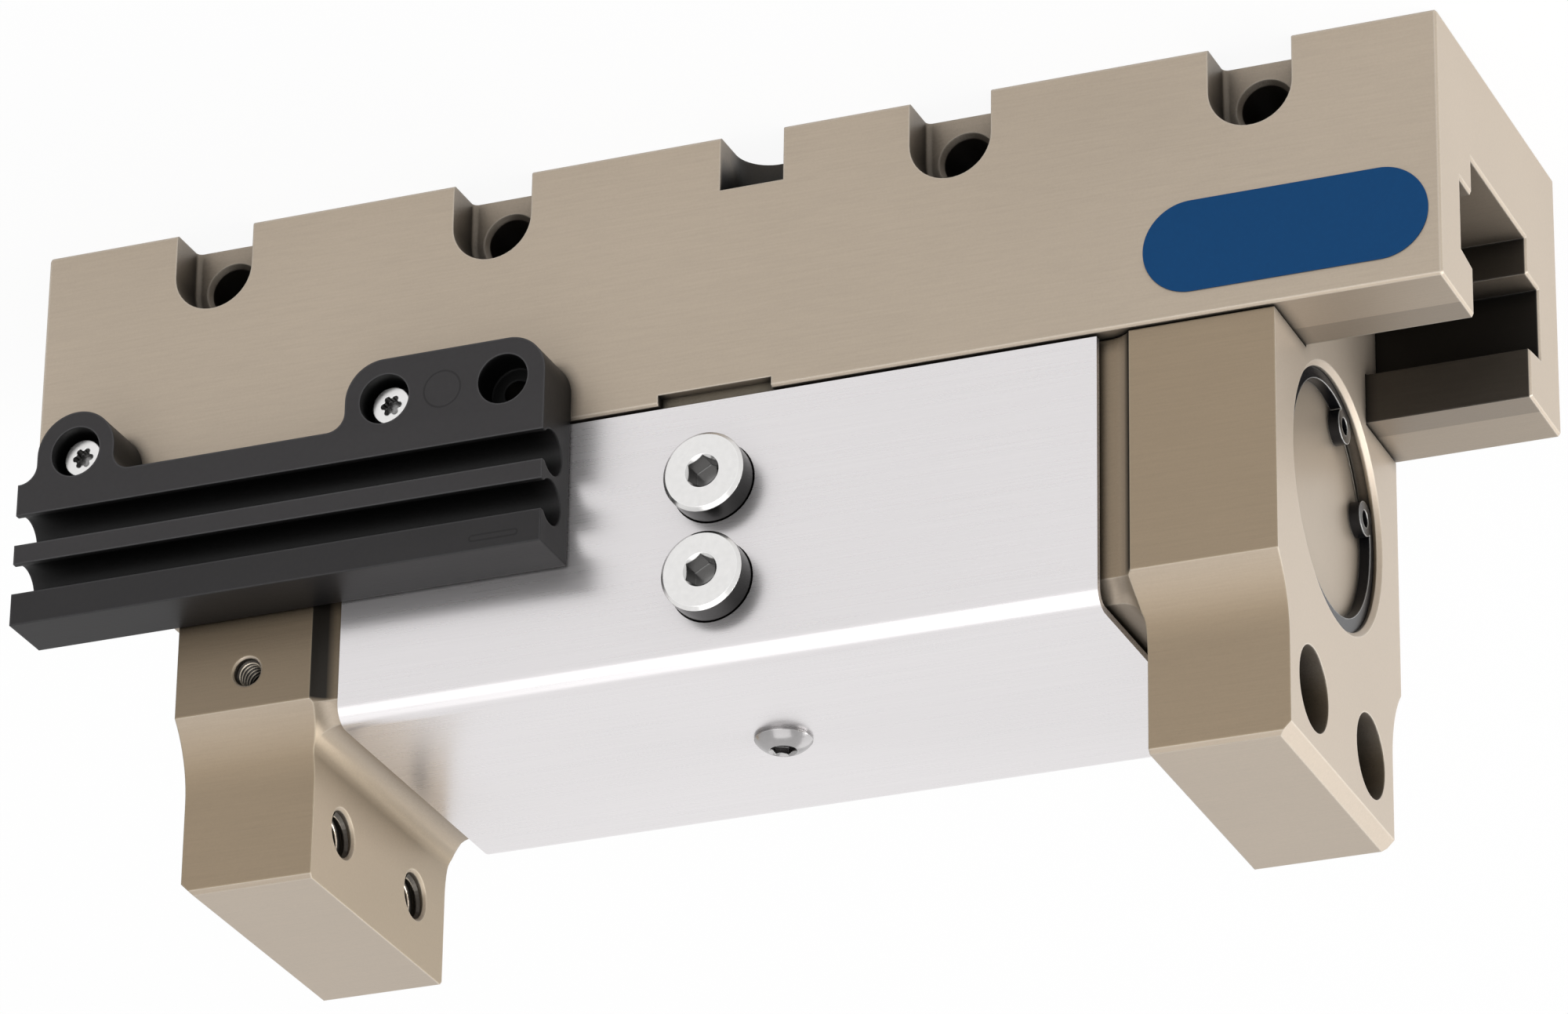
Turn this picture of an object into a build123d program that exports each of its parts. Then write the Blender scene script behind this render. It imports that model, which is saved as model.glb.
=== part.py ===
from build123d import *
from math import acos, cos, pi, radians, sin, sqrt, tan
import os

# Long-stroke gripper for small parts. Two jaws slide in the T-slot of a guide rail.
# Each jaw carries its own air cylinder over a fixed piston, and a pinion between two
# racks keeps the jaws in step. All sizes are in millimetres.
# The mounting face lies on Z = 0 with its centre at the origin, the jaws point along +Z
# and travel along X, and the plugs and the sensor bracket are on the -Y side.

os.makedirs("parts", exist_ok=True)

# Guide rail
rail_length = 125.5
rail_depth = 32.0
rail_height = 24.0
web_thickness = 9.5
channel_width = 15.0
channel_depth = 3.3
slot_width = 21.4
slot_height = 6.8
ledge_fall = 0.4
mouth_width = 15.5
rail_edge_break = 0.2

# Side mounting screws of the rail
side_screw_inner_pitch = 41.4
side_screw_outer_pitch = 93.6
side_screw_height = 4.0
side_screw_hole = 4.3
counterbore_width = 7.2
counterbore_depth = 4.0
counterbore_corner = 0.5
side_hole_chamfer = 0.4

# Pocket in the rail's front upper edge
pocket_offset = 3.0
pocket_width = 5.7
pocket_height = 5.0
pocket_reach = 6.2
pocket_corner = 0.7

# Threads and dowel holes in the mounting face
face_thread_core = 3.3
face_thread_depth = 7.5
face_pitch_x = 67.5
face_pitch_y = 20.0
dowel_hole = 4.0
dowel_depth = 6.0

# Gaps between pieces
slide_gap = 0.1
jaw_top_gap = 0.2
stop_gap = 0.5
cover_gap = 0.55
cover_end_gap = 0.7
cover_top_gap = 0.3
seat_gap = 0.02
shaft_gap = 0.05

# Jaws; their widths follow the rail's depth
stroke = 20.0
jaw_inset = 0.4
barrel_inset = 1.0
finger_inset = 2.65
barrel_height = 22.8
barrel_corner = 1.6
root_radius = 2.5
finger_thickness = 11.9
finger_reach = 36.1
sweep_radius = 9.5
sweep_end = 27.8
outer_edge_break = 1.0
finger_edge_break = 0.35
bore_drop = 10.1

# Finger screw holes
finger_hole_pitch = 14.3
finger_hole_lift = 6.1
finger_thread = 4.0
finger_thread_mouth = 4.5
finger_counterbore = 7.2
finger_counterbore_depth = 6.5

# Cam thread and magnet in the side of the jaw
cam_thread = 2.5
cam_thread_mouth = 2.8
cam_thread_depth = 4.0
cam_thread_inset = 6.5
cam_thread_drop = 17.9
magnet_diameter = 4.0
magnet_length = 2.4
magnet_inset = 9.0
magnet_drop = 6.6

# Cylinder in each jaw
cylinder_bore = 20.0
cap_seat_bore = 22.0
seat_mouth_chamfer = 0.4
inner_wall = 7.5
cap_thickness = 4.0
circlip_inset = 0.7
circlip_thickness = 1.0
circlip_groove_depth = 0.5
circlip_inner_width = 19.8
circlip_taper = 0.5
circlip_gap_angle = 50.0
circlip_turn = 39.0
circlip_lug_width = 3.0
circlip_lug_hole = 1.5
circlip_lug_inset = 1.6
seal_width = 1.8
seal_depth = 1.4

# Rod and pistons
rod_diameter = 7.0
rod_end_diameter = 5.0
piston_thickness = 8.0
piston_end_gap = 0.8
piston_clearance = 0.1
piston_seal_width = 2.6
piston_seal_gap = 0.1
piston_seal_depth = 2.4
rod_nut_width = 8.0
rod_nut_thickness = 2.7
nut_recess_width = 11.0
air_bore = 1.8
air_bore_small = 1.4
air_bore_offset = 2.1
air_passage = 1.2
air_cross_hole = 1.0
air_cross_hole_inset = 0.9
bush_width = 10.0
bush_length = 3.5
rod_passage = 7.6
rod_seal_width = 10.4
rod_seal_length = 2.0
rod_seal_inset = 1.2

# Centre block
block_width = 10.0
key_gap = 0.05
key_depth = 0.9
foot_gap = 0.1
foot_height = 3.1
port_core = 4.2
port_depth = 6.0
port_a_drop = 7.8
port_b_drop = 16.7
port_spot_width = 7.3
clamp_screw_pitch_x = 5.2
clamp_screw_pitch_y = 11.2
clamp_screw_diameter = 2.0
clamp_screw_length = 30.0
clamp_screw_hole = 2.2
clamp_head_width = 3.8
clamp_head_height = 2.0
clamp_head_recess = 2.6
clamp_recess_width = 4.0
clamp_key = 1.5
clamp_key_depth = 1.0
nut_length = 9.8
nut_top_gap = 0.2
nut_foot_gap = 0.3
set_screw_diameter = 3.0
set_screw_length = 6.0
set_screw_key = 1.5
set_screw_key_depth = 1.5
set_screw_bite = 0.4

# Cover
cover_length = 66.8
sheet_thickness = 0.6
bend_radius = 1.2
cover_screw_hole = 2.7

# Cover screw
cover_screw_diameter = 2.5
cover_screw_length = 6.0
cover_head_width = 4.9
cover_head_height = 1.2
cover_head_rim = 0.25
cover_key = 1.9
cover_key_mouth = 2.4
cover_key_depth = 0.8

# Port plugs
plug_head_width = 7.1
plug_proud = 2.5
plug_edge_chamfer = 0.3
plug_thread = 5.0
plug_thread_length = 4.5
plug_key = 2.5
plug_key_mouth = 3.0
plug_key_depth = 2.0
ring_width = 6.8
ring_thickness = 0.5

# Sensor bracket
bracket_start = 12.9
bracket_length = 48.6
bracket_depth = 5.4
bar_height = 13.0
bar_drop = 0.3
groove_diameter = 4.0
groove_mouth = 2.75
groove_pitch = 4.5
groove_inset = 1.95
first_groove_drop = 4.25
boss_height = 6.0
boss_radius = 3.6
boss_root_radius = 1.6
plate_length = 18.2
plate_corner_radius = 3.4
first_hole_inset = 5.3
plate_hole_pitch = 10.8
spare_hole_inset = 3.8
bracket_hole_drop = 2.3
head_recess_width = 4.5
head_recess_depth = 2.9
bracket_screw_hole = 2.2
bracket_screw_diameter = 2.0
bracket_screw_length = 5.5
bracket_head_width = 3.5
bracket_head_height = 1.5
bracket_key = 1.9
bracket_key_depth = 0.8

# Rack and pinion
gear_module = 0.5
pinion_teeth = 16
pressure_angle = 20.0
tooth_thinning = 0.1
tip_factor = 1.0
root_factor = 1.25
pinion_height = 2.8
pinion_lift = 0.3
pin_diameter = 3.0
pin_depth = 5.5
pin_end_gap = 0.2
rack_height = 3.1
rack_side_gap = 0.15
rack_overlap = 24.5
rack_reach = 30.0
rack_teeth = 18
rack_foot_start = 9.0
rack_foot_inner = 1.6
rack_lane_relief = 0.3
rack_lane_width = 4.3
rack_lane_spare = 1.5
rack_screw_diameter = 2.0
rack_screw_length = 5.5
rack_head_width = 3.5
rack_head_height = 1.2
rack_head_recess_width = 3.7
rack_head_recess = 1.3
rack_screw_inset = 5.0
rack_screw_pitch = 11.0
rack_key = 1.3
rack_key_depth = 0.7

# Levels and faces worked out from the sizes above
jaw_width = rail_depth - 2 * jaw_inset
barrel_width = jaw_width - 2 * barrel_inset
finger_width = jaw_width - 2 * finger_inset
ceiling_z = web_thickness + channel_depth
ledge_z = ceiling_z + slot_height
key_z = rail_height - key_depth
jaw_top = rail_height + jaw_top_gap
barrel_end = jaw_top + barrel_height
finger_end = jaw_top + finger_reach
bore_z = jaw_top + bore_drop
cover_inner = barrel_end + cover_gap
cover_outer = cover_inner + sheet_thickness
cover_inner_y = barrel_width / 2 + cover_gap
cover_outer_y = cover_inner_y + sheet_thickness
jaw_inner = block_width / 2 + stop_gap
finger_face = cover_length / 2 + cover_end_gap + root_radius
jaw_outer = finger_face + finger_thickness
jaw_length = jaw_outer - jaw_inner
guide_top = ceiling_z + slide_gap
bracket_top = rail_height - boss_height + bar_drop
bar_top = rail_height + bar_drop
bracket_face = -rail_depth / 2 - bracket_depth
bracket_end = bracket_start + bracket_length
cap_outer = jaw_outer - circlip_inset - circlip_thickness
cap_inner = cap_outer - cap_thickness
wall_face = jaw_inner + inner_wall
piston_outer = cap_inner - piston_end_gap
piston_inner = piston_outer - piston_thickness
piston_width = cylinder_bore - 2 * piston_clearance
nut_seat = piston_outer - rod_nut_thickness
port_a_z = rail_height + port_a_drop
port_b_z = rail_height + port_b_drop
foot_width = mouth_width - 2 * foot_gap
foot_top = key_z - foot_height
pitch_radius = gear_module * pinion_teeth / 2
tooth_pitch = gear_module * pi
tip_height = tip_factor * gear_module
root_height = root_factor * gear_module
pinion_top = web_thickness + pinion_lift
rack_outer_y = channel_width / 2 - rack_side_gap


def facing_x(x, y=0, z=0):
    """Plane across the jaws' travel, with its normal towards +X."""
    return Plane(origin=(x, y, z), x_dir=(0, 1, 0), z_dir=(1, 0, 0))


def facing_centre(x, y=0, z=0):
    """Plane across the jaws' travel, with its normal towards -X."""
    return Plane(origin=(x, y, z), x_dir=(0, -1, 0), z_dir=(-1, 0, 0))


def facing_front(y, x=0, z=0):
    """Plane parallel to the front, with its normal towards -Y and local y up +Z."""
    return Plane(origin=(x, y, z), x_dir=(1, 0, 0), z_dir=(0, -1, 0))


def facing_back(y, x=0, z=0):
    """Plane parallel to the back, with its normal towards +Y and local y up +Z."""
    return Plane(origin=(x, y, z), x_dir=(-1, 0, 0), z_dir=(0, 1, 0))


def cylinders(plane, places, diameter, length, mode=Mode.ADD):
    """Round posts, or holes with Mode.SUBTRACT, from the plane along its normal."""
    with BuildSketch(plane) as rounds:
        with Locations(*places):
            Circle(diameter / 2)
    extrude(rounds.sketch, amount=length, mode=mode)


def drill(plane, places, diameter, depth):
    """Round holes that go into the part behind the plane."""
    cylinders(plane, places, diameter, -depth, Mode.SUBTRACT)


def countersink(plane, places, mouth, depth):
    """45 degree cones that open the mouths of holes in the plane."""
    with Locations(plane):
        with Locations(*places):
            Cone(
                mouth / 2 - depth,
                mouth / 2,
                depth,
                align=(Align.CENTER, Align.CENTER, Align.MAX),
                mode=Mode.SUBTRACT,
            )


def sockets(plane, places, width, depth):
    """Hexagon sockets, given across flats with a corner up, cut behind the plane."""
    with BuildSketch(plane) as keys:
        with Locations(*places):
            RegularPolygon(width / 2, 6, major_radius=False, rotation=30)
    extrude(keys.sketch, amount=-depth, mode=Mode.SUBTRACT)


def lobed_sockets(plane, places, width, depth):
    """Six-lobed sockets, given across the lobes, cut behind the plane."""
    with BuildSketch(plane) as keys:
        with Locations(*places):
            Circle(0.36 * width)
            for turn in (0, 60, 120):
                SlotOverall(width, 0.28 * width, rotation=turn)
    extrude(keys.sketch, amount=-depth, mode=Mode.SUBTRACT)


def passage(start, end, diameter):
    """Straight drilled air passage from one point to another."""
    line = Vector(*end) - Vector(*start)
    with BuildSketch(Plane(origin=start, z_dir=line)) as mouth:
        Circle(diameter / 2)
    extrude(mouth.sketch, amount=line.length, mode=Mode.SUBTRACT)


def ring(plane, outer, inner, length):
    """Flat ring from the plane along its normal."""
    with BuildSketch(plane) as section:
        Circle(outer / 2)
        Circle(inner / 2, mode=Mode.SUBTRACT)
    extrude(section.sketch, amount=length)


def save(builder, name):
    """Name the finished piece and write it."""
    builder.part.label = name
    export_step(builder.part, f"parts/{name}.step")


# Guide rail: the T-slot has a deeper channel in its ceiling for the racks
side_screw_places = [
    (x, side_screw_height)
    for pitch in (side_screw_inner_pitch, side_screw_outer_pitch)
    for x in (-pitch / 2, pitch / 2)
]
bracket_hole_z = bar_top - bracket_hole_drop
first_hole_x = bracket_end - first_hole_inset
spare_hole_x = bracket_start + spare_hole_inset
plate_hole_x = spare_hole_x + plate_hole_pitch
bracket_screw_places = [(first_hole_x, bracket_hole_z), (plate_hole_x, bracket_hole_z)]
face_places = [
    (x, y)
    for x in (-face_pitch_x / 2, face_pitch_x / 2)
    for y in (-face_pitch_y / 2, face_pitch_y / 2)
]
dowel_places = [(-face_pitch_x / 2, 0), (face_pitch_x / 2, 0)]
mounting_plane = Plane.XY.rotated((180, 0, 0))
rail_front = facing_front(-rail_depth / 2)

with BuildPart() as guide_rail:
    with BuildSketch(facing_x(-rail_length / 2)):
        with Locations((0, rail_height / 2)):
            Rectangle(rail_depth, rail_height)
        with BuildLine():
            Polyline(
                (0, rail_height),
                (mouth_width / 2, rail_height),
                (mouth_width / 2, ledge_z),
                (slot_width / 2, ledge_z - ledge_fall),
                (slot_width / 2, ceiling_z),
                (channel_width / 2, ceiling_z),
                (channel_width / 2, web_thickness),
                (0, web_thickness),
            )
            mirror(about=Plane.YZ)
        make_face(mode=Mode.SUBTRACT)
    extrude(amount=rail_length)
    outer_edges = guide_rail.edges().filter_by(Axis.X).filter_by(
        lambda edge: abs(abs(edge.center().Y) - rail_depth / 2) < slide_gap
    )
    chamfer(outer_edges, rail_edge_break)
    chamfer(guide_rail.faces().filter_by(Axis.X).edges(), rail_edge_break)
    drill(rail_front, side_screw_places, side_screw_hole, rail_depth)
    with BuildSketch(rail_front) as counterbores:
        with Locations(*side_screw_places):
            Circle(counterbore_width / 2)
        with Locations(*[(x, side_screw_height / 2) for x, _ in side_screw_places]):
            Rectangle(counterbore_width, side_screw_height)
    extrude(counterbores.sketch, amount=-counterbore_depth, mode=Mode.SUBTRACT)
    bore_floor_y = counterbore_depth - rail_depth / 2
    floor_edges = guide_rail.edges().filter_by(
        lambda edge: all(abs(corner.Y - bore_floor_y) < seat_gap for corner in edge.vertices())
        and edge.center().Z > rail_edge_break
        and edge.length > side_screw_height / 2
    )
    fillet(floor_edges, counterbore_corner)
    countersink(
        facing_front(counterbore_depth - rail_depth / 2),
        side_screw_places,
        side_screw_hole + 2 * side_hole_chamfer,
        side_hole_chamfer,
    )
    with BuildSketch(Plane.XY) as pocket:
        with Locations((-pocket_offset, -rail_depth / 2)):
            SlotOverall(2 * pocket_reach, pocket_width, rotation=90)
    extrude(pocket.sketch, amount=pocket_height, mode=Mode.SUBTRACT)
    with BuildSketch(Plane.XY.offset(rail_height)) as key_slot:
        Rectangle(block_width + 2 * key_gap, rail_depth)
    extrude(key_slot.sketch, amount=-key_depth, mode=Mode.SUBTRACT)
    drill(mounting_plane, face_places, face_thread_core, face_thread_depth)
    drill(mounting_plane, dowel_places, dowel_hole, dowel_depth)
    drill(
        rail_front,
        bracket_screw_places,
        bracket_screw_diameter + 2 * seat_gap,
        bracket_screw_length - bracket_depth + head_recess_depth + seat_gap,
    )
    drill(Plane.XY.offset(web_thickness), [(0, 0)], pin_diameter, pin_depth)

save(guide_rail, "guide_rail")

# Base jaw, drawn for the +X side: barrel and finger block meet in a fillet that follows
# the barrel's section, then both are cut to the side outline with its hollow sweep
block_overhang = root_radius + sweep_radius
sweep_end_z = jaw_top + sweep_end
neck_width = mouth_width - 2 * slide_gap
flange_width = slot_width - 2 * slide_gap
finger_hole_z = finger_end - finger_hole_lift
finger_places = [(-finger_hole_pitch / 2, finger_hole_z), (finger_hole_pitch / 2, finger_hole_z)]
cam_place = (jaw_outer - cam_thread_inset, jaw_top + cam_thread_drop)
magnet_place = (jaw_outer - magnet_inset, jaw_top + magnet_drop)
rack_foot_y = (rack_foot_inner + rack_outer_y) / 2
rack_screw_x = rack_reach - rack_screw_inset
rack_screw_places = [(rack_screw_x - rack_screw_pitch, rack_foot_y), (rack_screw_x, rack_foot_y)]
rack_bottom = guide_top - rack_height
rack_screw_seat = rack_bottom + rack_head_recess
jaw_front = facing_front(-jaw_width / 2)
bore_mouth = facing_x(jaw_outer, 0, bore_z)
lane_end = rack_overlap + rack_lane_spare

with BuildPart() as base_jaw:
    with BuildSketch(facing_x(jaw_inner)):
        with Locations((0, jaw_top + barrel_height / 2)):
            Rectangle(barrel_width, barrel_height)
        barrel_corners = [
            corner
            for corner in vertices()
            if corner.Y > jaw_top + barrel_height / 2
        ]
        chamfer(barrel_corners, barrel_corner)
    extrude(amount=jaw_length)
    with BuildSketch(facing_x(finger_face)):
        with Locations((0, jaw_top + (finger_reach + block_overhang) / 2)):
            Rectangle(jaw_width + 2 * block_overhang, finger_reach + block_overhang)
    extrude(amount=finger_thickness)
    root_edges = base_jaw.edges().filter_by(
        lambda edge: abs(edge.center().X - finger_face) < slide_gap
        and abs(edge.center().Y) <= barrel_width / 2 + slide_gap
        and jaw_top + slide_gap < edge.center().Z <= barrel_end + slide_gap
    )
    fillet(root_edges, root_radius)
    with BuildSketch(facing_x(jaw_inner)):
        with Locations((0, (jaw_top + finger_end) / 2)):
            Rectangle(jaw_width, finger_reach)
        with Locations(
            (finger_width / 2 + sweep_radius, sweep_end_z),
            (-finger_width / 2 - sweep_radius, sweep_end_z),
        ):
            Circle(sweep_radius, mode=Mode.SUBTRACT)
        with Locations(
            ((finger_width + jaw_width) / 4, (sweep_end_z + finger_end) / 2),
            (-(finger_width + jaw_width) / 4, (sweep_end_z + finger_end) / 2),
        ):
            Rectangle(
                (jaw_width - finger_width) / 2,
                finger_end - sweep_end_z,
                mode=Mode.SUBTRACT,
            )
    extrude(amount=jaw_length, mode=Mode.INTERSECT)
    outer_end_edge = base_jaw.edges().filter_by(
        lambda edge: edge.center().Z > finger_end - seat_gap
        and edge.center().X > jaw_outer - seat_gap
    )
    chamfer(outer_end_edge, outer_edge_break)
    side_end_edges = base_jaw.edges().filter_by(Axis.X).filter_by(
        lambda edge: edge.center().Z > finger_end - seat_gap
    )
    chamfer(side_end_edges, finger_edge_break)

    with BuildSketch(facing_x(jaw_inner)) as guide_section:
        with BuildLine():
            Polyline(
                (0, jaw_top + barrel_corner),
                (neck_width / 2, jaw_top + barrel_corner),
                (neck_width / 2, ledge_z - slide_gap),
                (flange_width / 2, ledge_z - ledge_fall - slide_gap),
                (flange_width / 2, guide_top),
                (0, guide_top),
            )
            mirror(about=Plane.YZ)
        make_face()
    extrude(guide_section.sketch, amount=jaw_length)
    with BuildSketch(Plane.XY.offset(guide_top)) as other_lane:
        with Locations(((jaw_inner + lane_end) / 2, (rack_lane_width - channel_width) / 2)):
            Rectangle(lane_end - jaw_inner, rack_lane_width)
    extrude(other_lane.sketch, amount=rack_lane_relief, mode=Mode.SUBTRACT)
    cylinders(
        Plane.XY.offset(guide_top),
        rack_screw_places,
        rack_screw_diameter + 2 * seat_gap,
        rack_screw_length,
        Mode.SUBTRACT,
    )

    drill(bore_mouth, [(0, 0)], cap_seat_bore, jaw_outer - cap_inner)
    drill(bore_mouth, [(0, 0)], cylinder_bore, jaw_outer - wall_face)
    drill(bore_mouth, [(0, 0)], bush_width, jaw_outer - wall_face + bush_length)
    drill(bore_mouth, [(0, 0)], rod_passage, jaw_length)
    drill(
        facing_x(jaw_inner + rod_seal_inset + rod_seal_length, 0, bore_z),
        [(0, 0)],
        rod_seal_width,
        rod_seal_length,
    )
    drill(
        facing_x(cap_outer + circlip_thickness + seat_gap, 0, bore_z),
        [(0, 0)],
        cap_seat_bore + 2 * circlip_groove_depth,
        circlip_thickness + seat_gap,
    )
    countersink(
        bore_mouth,
        [(0, 0)],
        cap_seat_bore + 2 * seat_mouth_chamfer,
        seat_mouth_chamfer,
    )
    drill(facing_x(jaw_outer), finger_places, finger_counterbore, finger_counterbore_depth)
    drill(facing_x(jaw_outer), finger_places, finger_thread, finger_thickness)
    countersink(
        facing_centre(finger_face),
        finger_places,
        finger_thread_mouth,
        (finger_thread_mouth - finger_thread) / 2,
    )
    drill(jaw_front, [cam_place], cam_thread, cam_thread_depth)
    countersink(jaw_front, [cam_place], cam_thread_mouth, (cam_thread_mouth - cam_thread) / 2)
    drill(jaw_front, [magnet_place], magnet_diameter, magnet_length + slide_gap)

# End cap with the groove for its seal
cap_width = cap_seat_bore - 2 * seat_gap
seal_inner = cap_width - 2 * seal_depth
cap_middle = (cap_inner + cap_outer) / 2

with BuildPart() as end_cap:
    cylinders(facing_x(cap_inner, 0, bore_z), [(0, 0)], cap_width, cap_thickness)
    cap_rims = end_cap.edges().filter_by(GeomType.CIRCLE)
    chamfer(cap_rims, finger_edge_break)
    with BuildSketch(facing_x(cap_middle - seal_width / 2, 0, bore_z)) as cap_groove:
        Circle(cap_seat_bore / 2)
        Circle(seal_inner / 2, mode=Mode.SUBTRACT)
    extrude(cap_groove.sketch, amount=seal_width, mode=Mode.SUBTRACT)

with BuildPart() as cap_seal:
    ring(
        facing_x(cap_middle - seal_width / 2 + seat_gap, 0, bore_z),
        cap_width,
        seal_inner,
        seal_width - 2 * seat_gap,
    )

# Circlip: its inner edge is off centre, so it is widest opposite the gap
circlip_outer = cap_seat_bore / 2 + circlip_groove_depth - seat_gap
circlip_lug_circle = cap_seat_bore / 2 - circlip_lug_inset
circlip_gap = 180 + circlip_turn
circlip_lug_angles = [
    circlip_gap - circlip_gap_angle / 2,
    circlip_gap + circlip_gap_angle / 2,
]
circlip_lug_places = [
    (circlip_lug_circle * cos(radians(angle)), circlip_lug_circle * sin(radians(angle)))
    for angle in circlip_lug_angles
]

with BuildPart() as circlip:
    with BuildSketch(facing_x(cap_outer, 0, bore_z)):
        Circle(circlip_outer)
        with Locations(
            (
                circlip_taper * cos(radians(circlip_gap)),
                circlip_taper * sin(radians(circlip_gap)),
            )
        ):
            Circle(circlip_inner_width / 2, mode=Mode.SUBTRACT)
        with BuildLine():
            Polyline(
                (0, 0),
                *[
                    (cap_seat_bore * cos(radians(angle)), cap_seat_bore * sin(radians(angle)))
                    for angle in circlip_lug_angles
                ],
                close=True,
            )
        make_face(mode=Mode.SUBTRACT)
        with Locations(*circlip_lug_places):
            Circle(circlip_lug_width / 2)
            Circle(circlip_lug_hole / 2, mode=Mode.SUBTRACT)
    extrude(amount=circlip_thickness)

# Bush and seal that run on the rod
running_bore = rod_diameter + 2 * shaft_gap

with BuildPart() as rod_bush:
    ring(
        facing_x(wall_face - bush_length + seat_gap, 0, bore_z),
        bush_width - 2 * seat_gap,
        running_bore,
        bush_length - 2 * seat_gap,
    )

with BuildPart() as rod_seal:
    ring(
        facing_x(jaw_inner + rod_seal_inset + seat_gap, 0, bore_z),
        rod_seal_width - 2 * seat_gap,
        running_bore,
        rod_seal_length - 2 * seat_gap,
    )

with BuildPart() as magnet:
    cylinders(
        facing_front(magnet_length - jaw_width / 2 + slide_gap / 2, 0, 0),
        [magnet_place],
        magnet_diameter - 2 * seat_gap,
        magnet_length,
    )

# Toothed rack for the +X jaw: straight-sided teeth that face the pinion
half_tooth = (tooth_pitch / 2 - tooth_thinning) / 2
flank_slope = tan(radians(pressure_angle))
rack_root_y = pitch_radius + root_height
rack_tip_y = pitch_radius - tip_height
first_tooth_x = tooth_pitch * (3 - rack_teeth)

with BuildPart() as rack:
    with BuildSketch(Plane.XY.offset(rack_bottom)):
        with Locations(
            ((rack_reach - rack_overlap) / 2, (rack_root_y + rack_outer_y) / 2),
        ):
            Rectangle(rack_reach + rack_overlap, rack_outer_y - rack_root_y)
        with Locations(((rack_foot_start + rack_reach) / 2, rack_foot_y)):
            Rectangle(rack_reach - rack_foot_start, rack_outer_y - rack_foot_inner)
        for tooth in range(rack_teeth):
            tooth_x = first_tooth_x + tooth * tooth_pitch
            with BuildLine():
                Polyline(
                    (tooth_x - half_tooth - root_height * flank_slope, rack_root_y),
                    (tooth_x - half_tooth + tip_height * flank_slope, rack_tip_y),
                    (tooth_x + half_tooth - tip_height * flank_slope, rack_tip_y),
                    (tooth_x + half_tooth + root_height * flank_slope, rack_root_y),
                    close=True,
                )
            make_face()
    extrude(amount=rack_height)
    cylinders(
        Plane.XY.offset(rack_bottom),
        rack_screw_places,
        rack_head_recess_width,
        rack_head_recess,
        Mode.SUBTRACT,
    )
    cylinders(
        Plane.XY.offset(rack_bottom),
        rack_screw_places,
        rack_screw_diameter + 2 * slide_gap,
        rack_height,
        Mode.SUBTRACT,
    )

with BuildPart() as rack_screws:
    cylinders(
        Plane.XY.offset(rack_screw_seat - rack_head_height),
        rack_screw_places,
        rack_head_width,
        rack_head_height,
    )
    cylinders(
        Plane.XY.offset(rack_screw_seat - seat_gap),
        rack_screw_places,
        rack_screw_diameter,
        rack_screw_length,
    )
    sockets(
        Plane.XY.offset(rack_screw_seat - rack_head_height).rotated((180, 0, 0)),
        [(x, -y) for x, y in rack_screw_places],
        rack_key,
        rack_key_depth,
    )

# Both jaws are the same set of pieces: the second is the first turned half round
jaw_pieces = {
    "base_jaw": base_jaw,
    "end_cap": end_cap,
    "cap_seal": cap_seal,
    "circlip": circlip,
    "rod_bush": rod_bush,
    "rod_seal": rod_seal,
    "magnet": magnet,
    "rack": rack,
    "rack_screws": rack_screws,
}
for name, piece in jaw_pieces.items():
    save(piece, f"{name}_right")
    with BuildPart() as turned:
        add(piece.part, rotation=(0, 0, 180))
    save(turned, f"{name}_left")

# Pinion: involute flanks drawn as arcs through the base, pitch and tip circles
base_radius = pitch_radius * cos(radians(pressure_angle))
pinion_root = pitch_radius - root_height
pinion_tip = pitch_radius + tip_height
tooth_turn = 180 / pinion_teeth


def half_tooth_angle(radius):
    """Half the angle that a pinion tooth fills at a radius, in radians."""
    at_pitch = half_tooth / pitch_radius
    roll = acos(min(1, base_radius / radius))
    pitch_roll = radians(pressure_angle)
    return at_pitch + tan(pitch_roll) - pitch_roll - tan(roll) + roll


def on_flank(radius, side):
    """Point of a tooth's flank, on the side given as 1 or -1."""
    angle = side * half_tooth_angle(max(radius, base_radius))
    return (radius * cos(angle), radius * sin(angle))


with BuildPart() as pinion:
    with BuildSketch() as tooth:
        with BuildLine():
            left_foot = on_flank(pinion_root - slide_gap, 1)
            left_base = on_flank(base_radius, 1)
            left_tip = on_flank(pinion_tip, 1)
            right_foot = on_flank(pinion_root - slide_gap, -1)
            right_base = on_flank(base_radius, -1)
            right_tip = on_flank(pinion_tip, -1)
            Line(left_foot, left_base)
            ThreePointArc(left_base, on_flank(pitch_radius, 1), left_tip)
            ThreePointArc(left_tip, (pinion_tip, 0), right_tip)
            ThreePointArc(right_tip, on_flank(pitch_radius, -1), right_base)
            Line(right_base, right_foot)
            Line(right_foot, left_foot)
        make_face()
    with BuildSketch(Plane.XY.offset(pinion_top)) as wheel:
        Circle(pinion_root)
        with PolarLocations(0, pinion_teeth, start_angle=tooth_turn):
            add(tooth.sketch)
        Circle(pin_diameter / 2 + shaft_gap, mode=Mode.SUBTRACT)
    extrude(wheel.sketch, amount=pinion_height)

save(pinion, "pinion")

with BuildPart() as pinion_pin:
    cylinders(
        Plane.XY.offset(web_thickness - pin_depth + seat_gap),
        [(0, 0)],
        pin_diameter,
        guide_top - web_thickness + pin_depth - seat_gap,
    )
    chamfer(pinion_pin.edges().filter_by(GeomType.CIRCLE), slide_gap)

save(pinion_pin, "pinion_pin")

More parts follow.
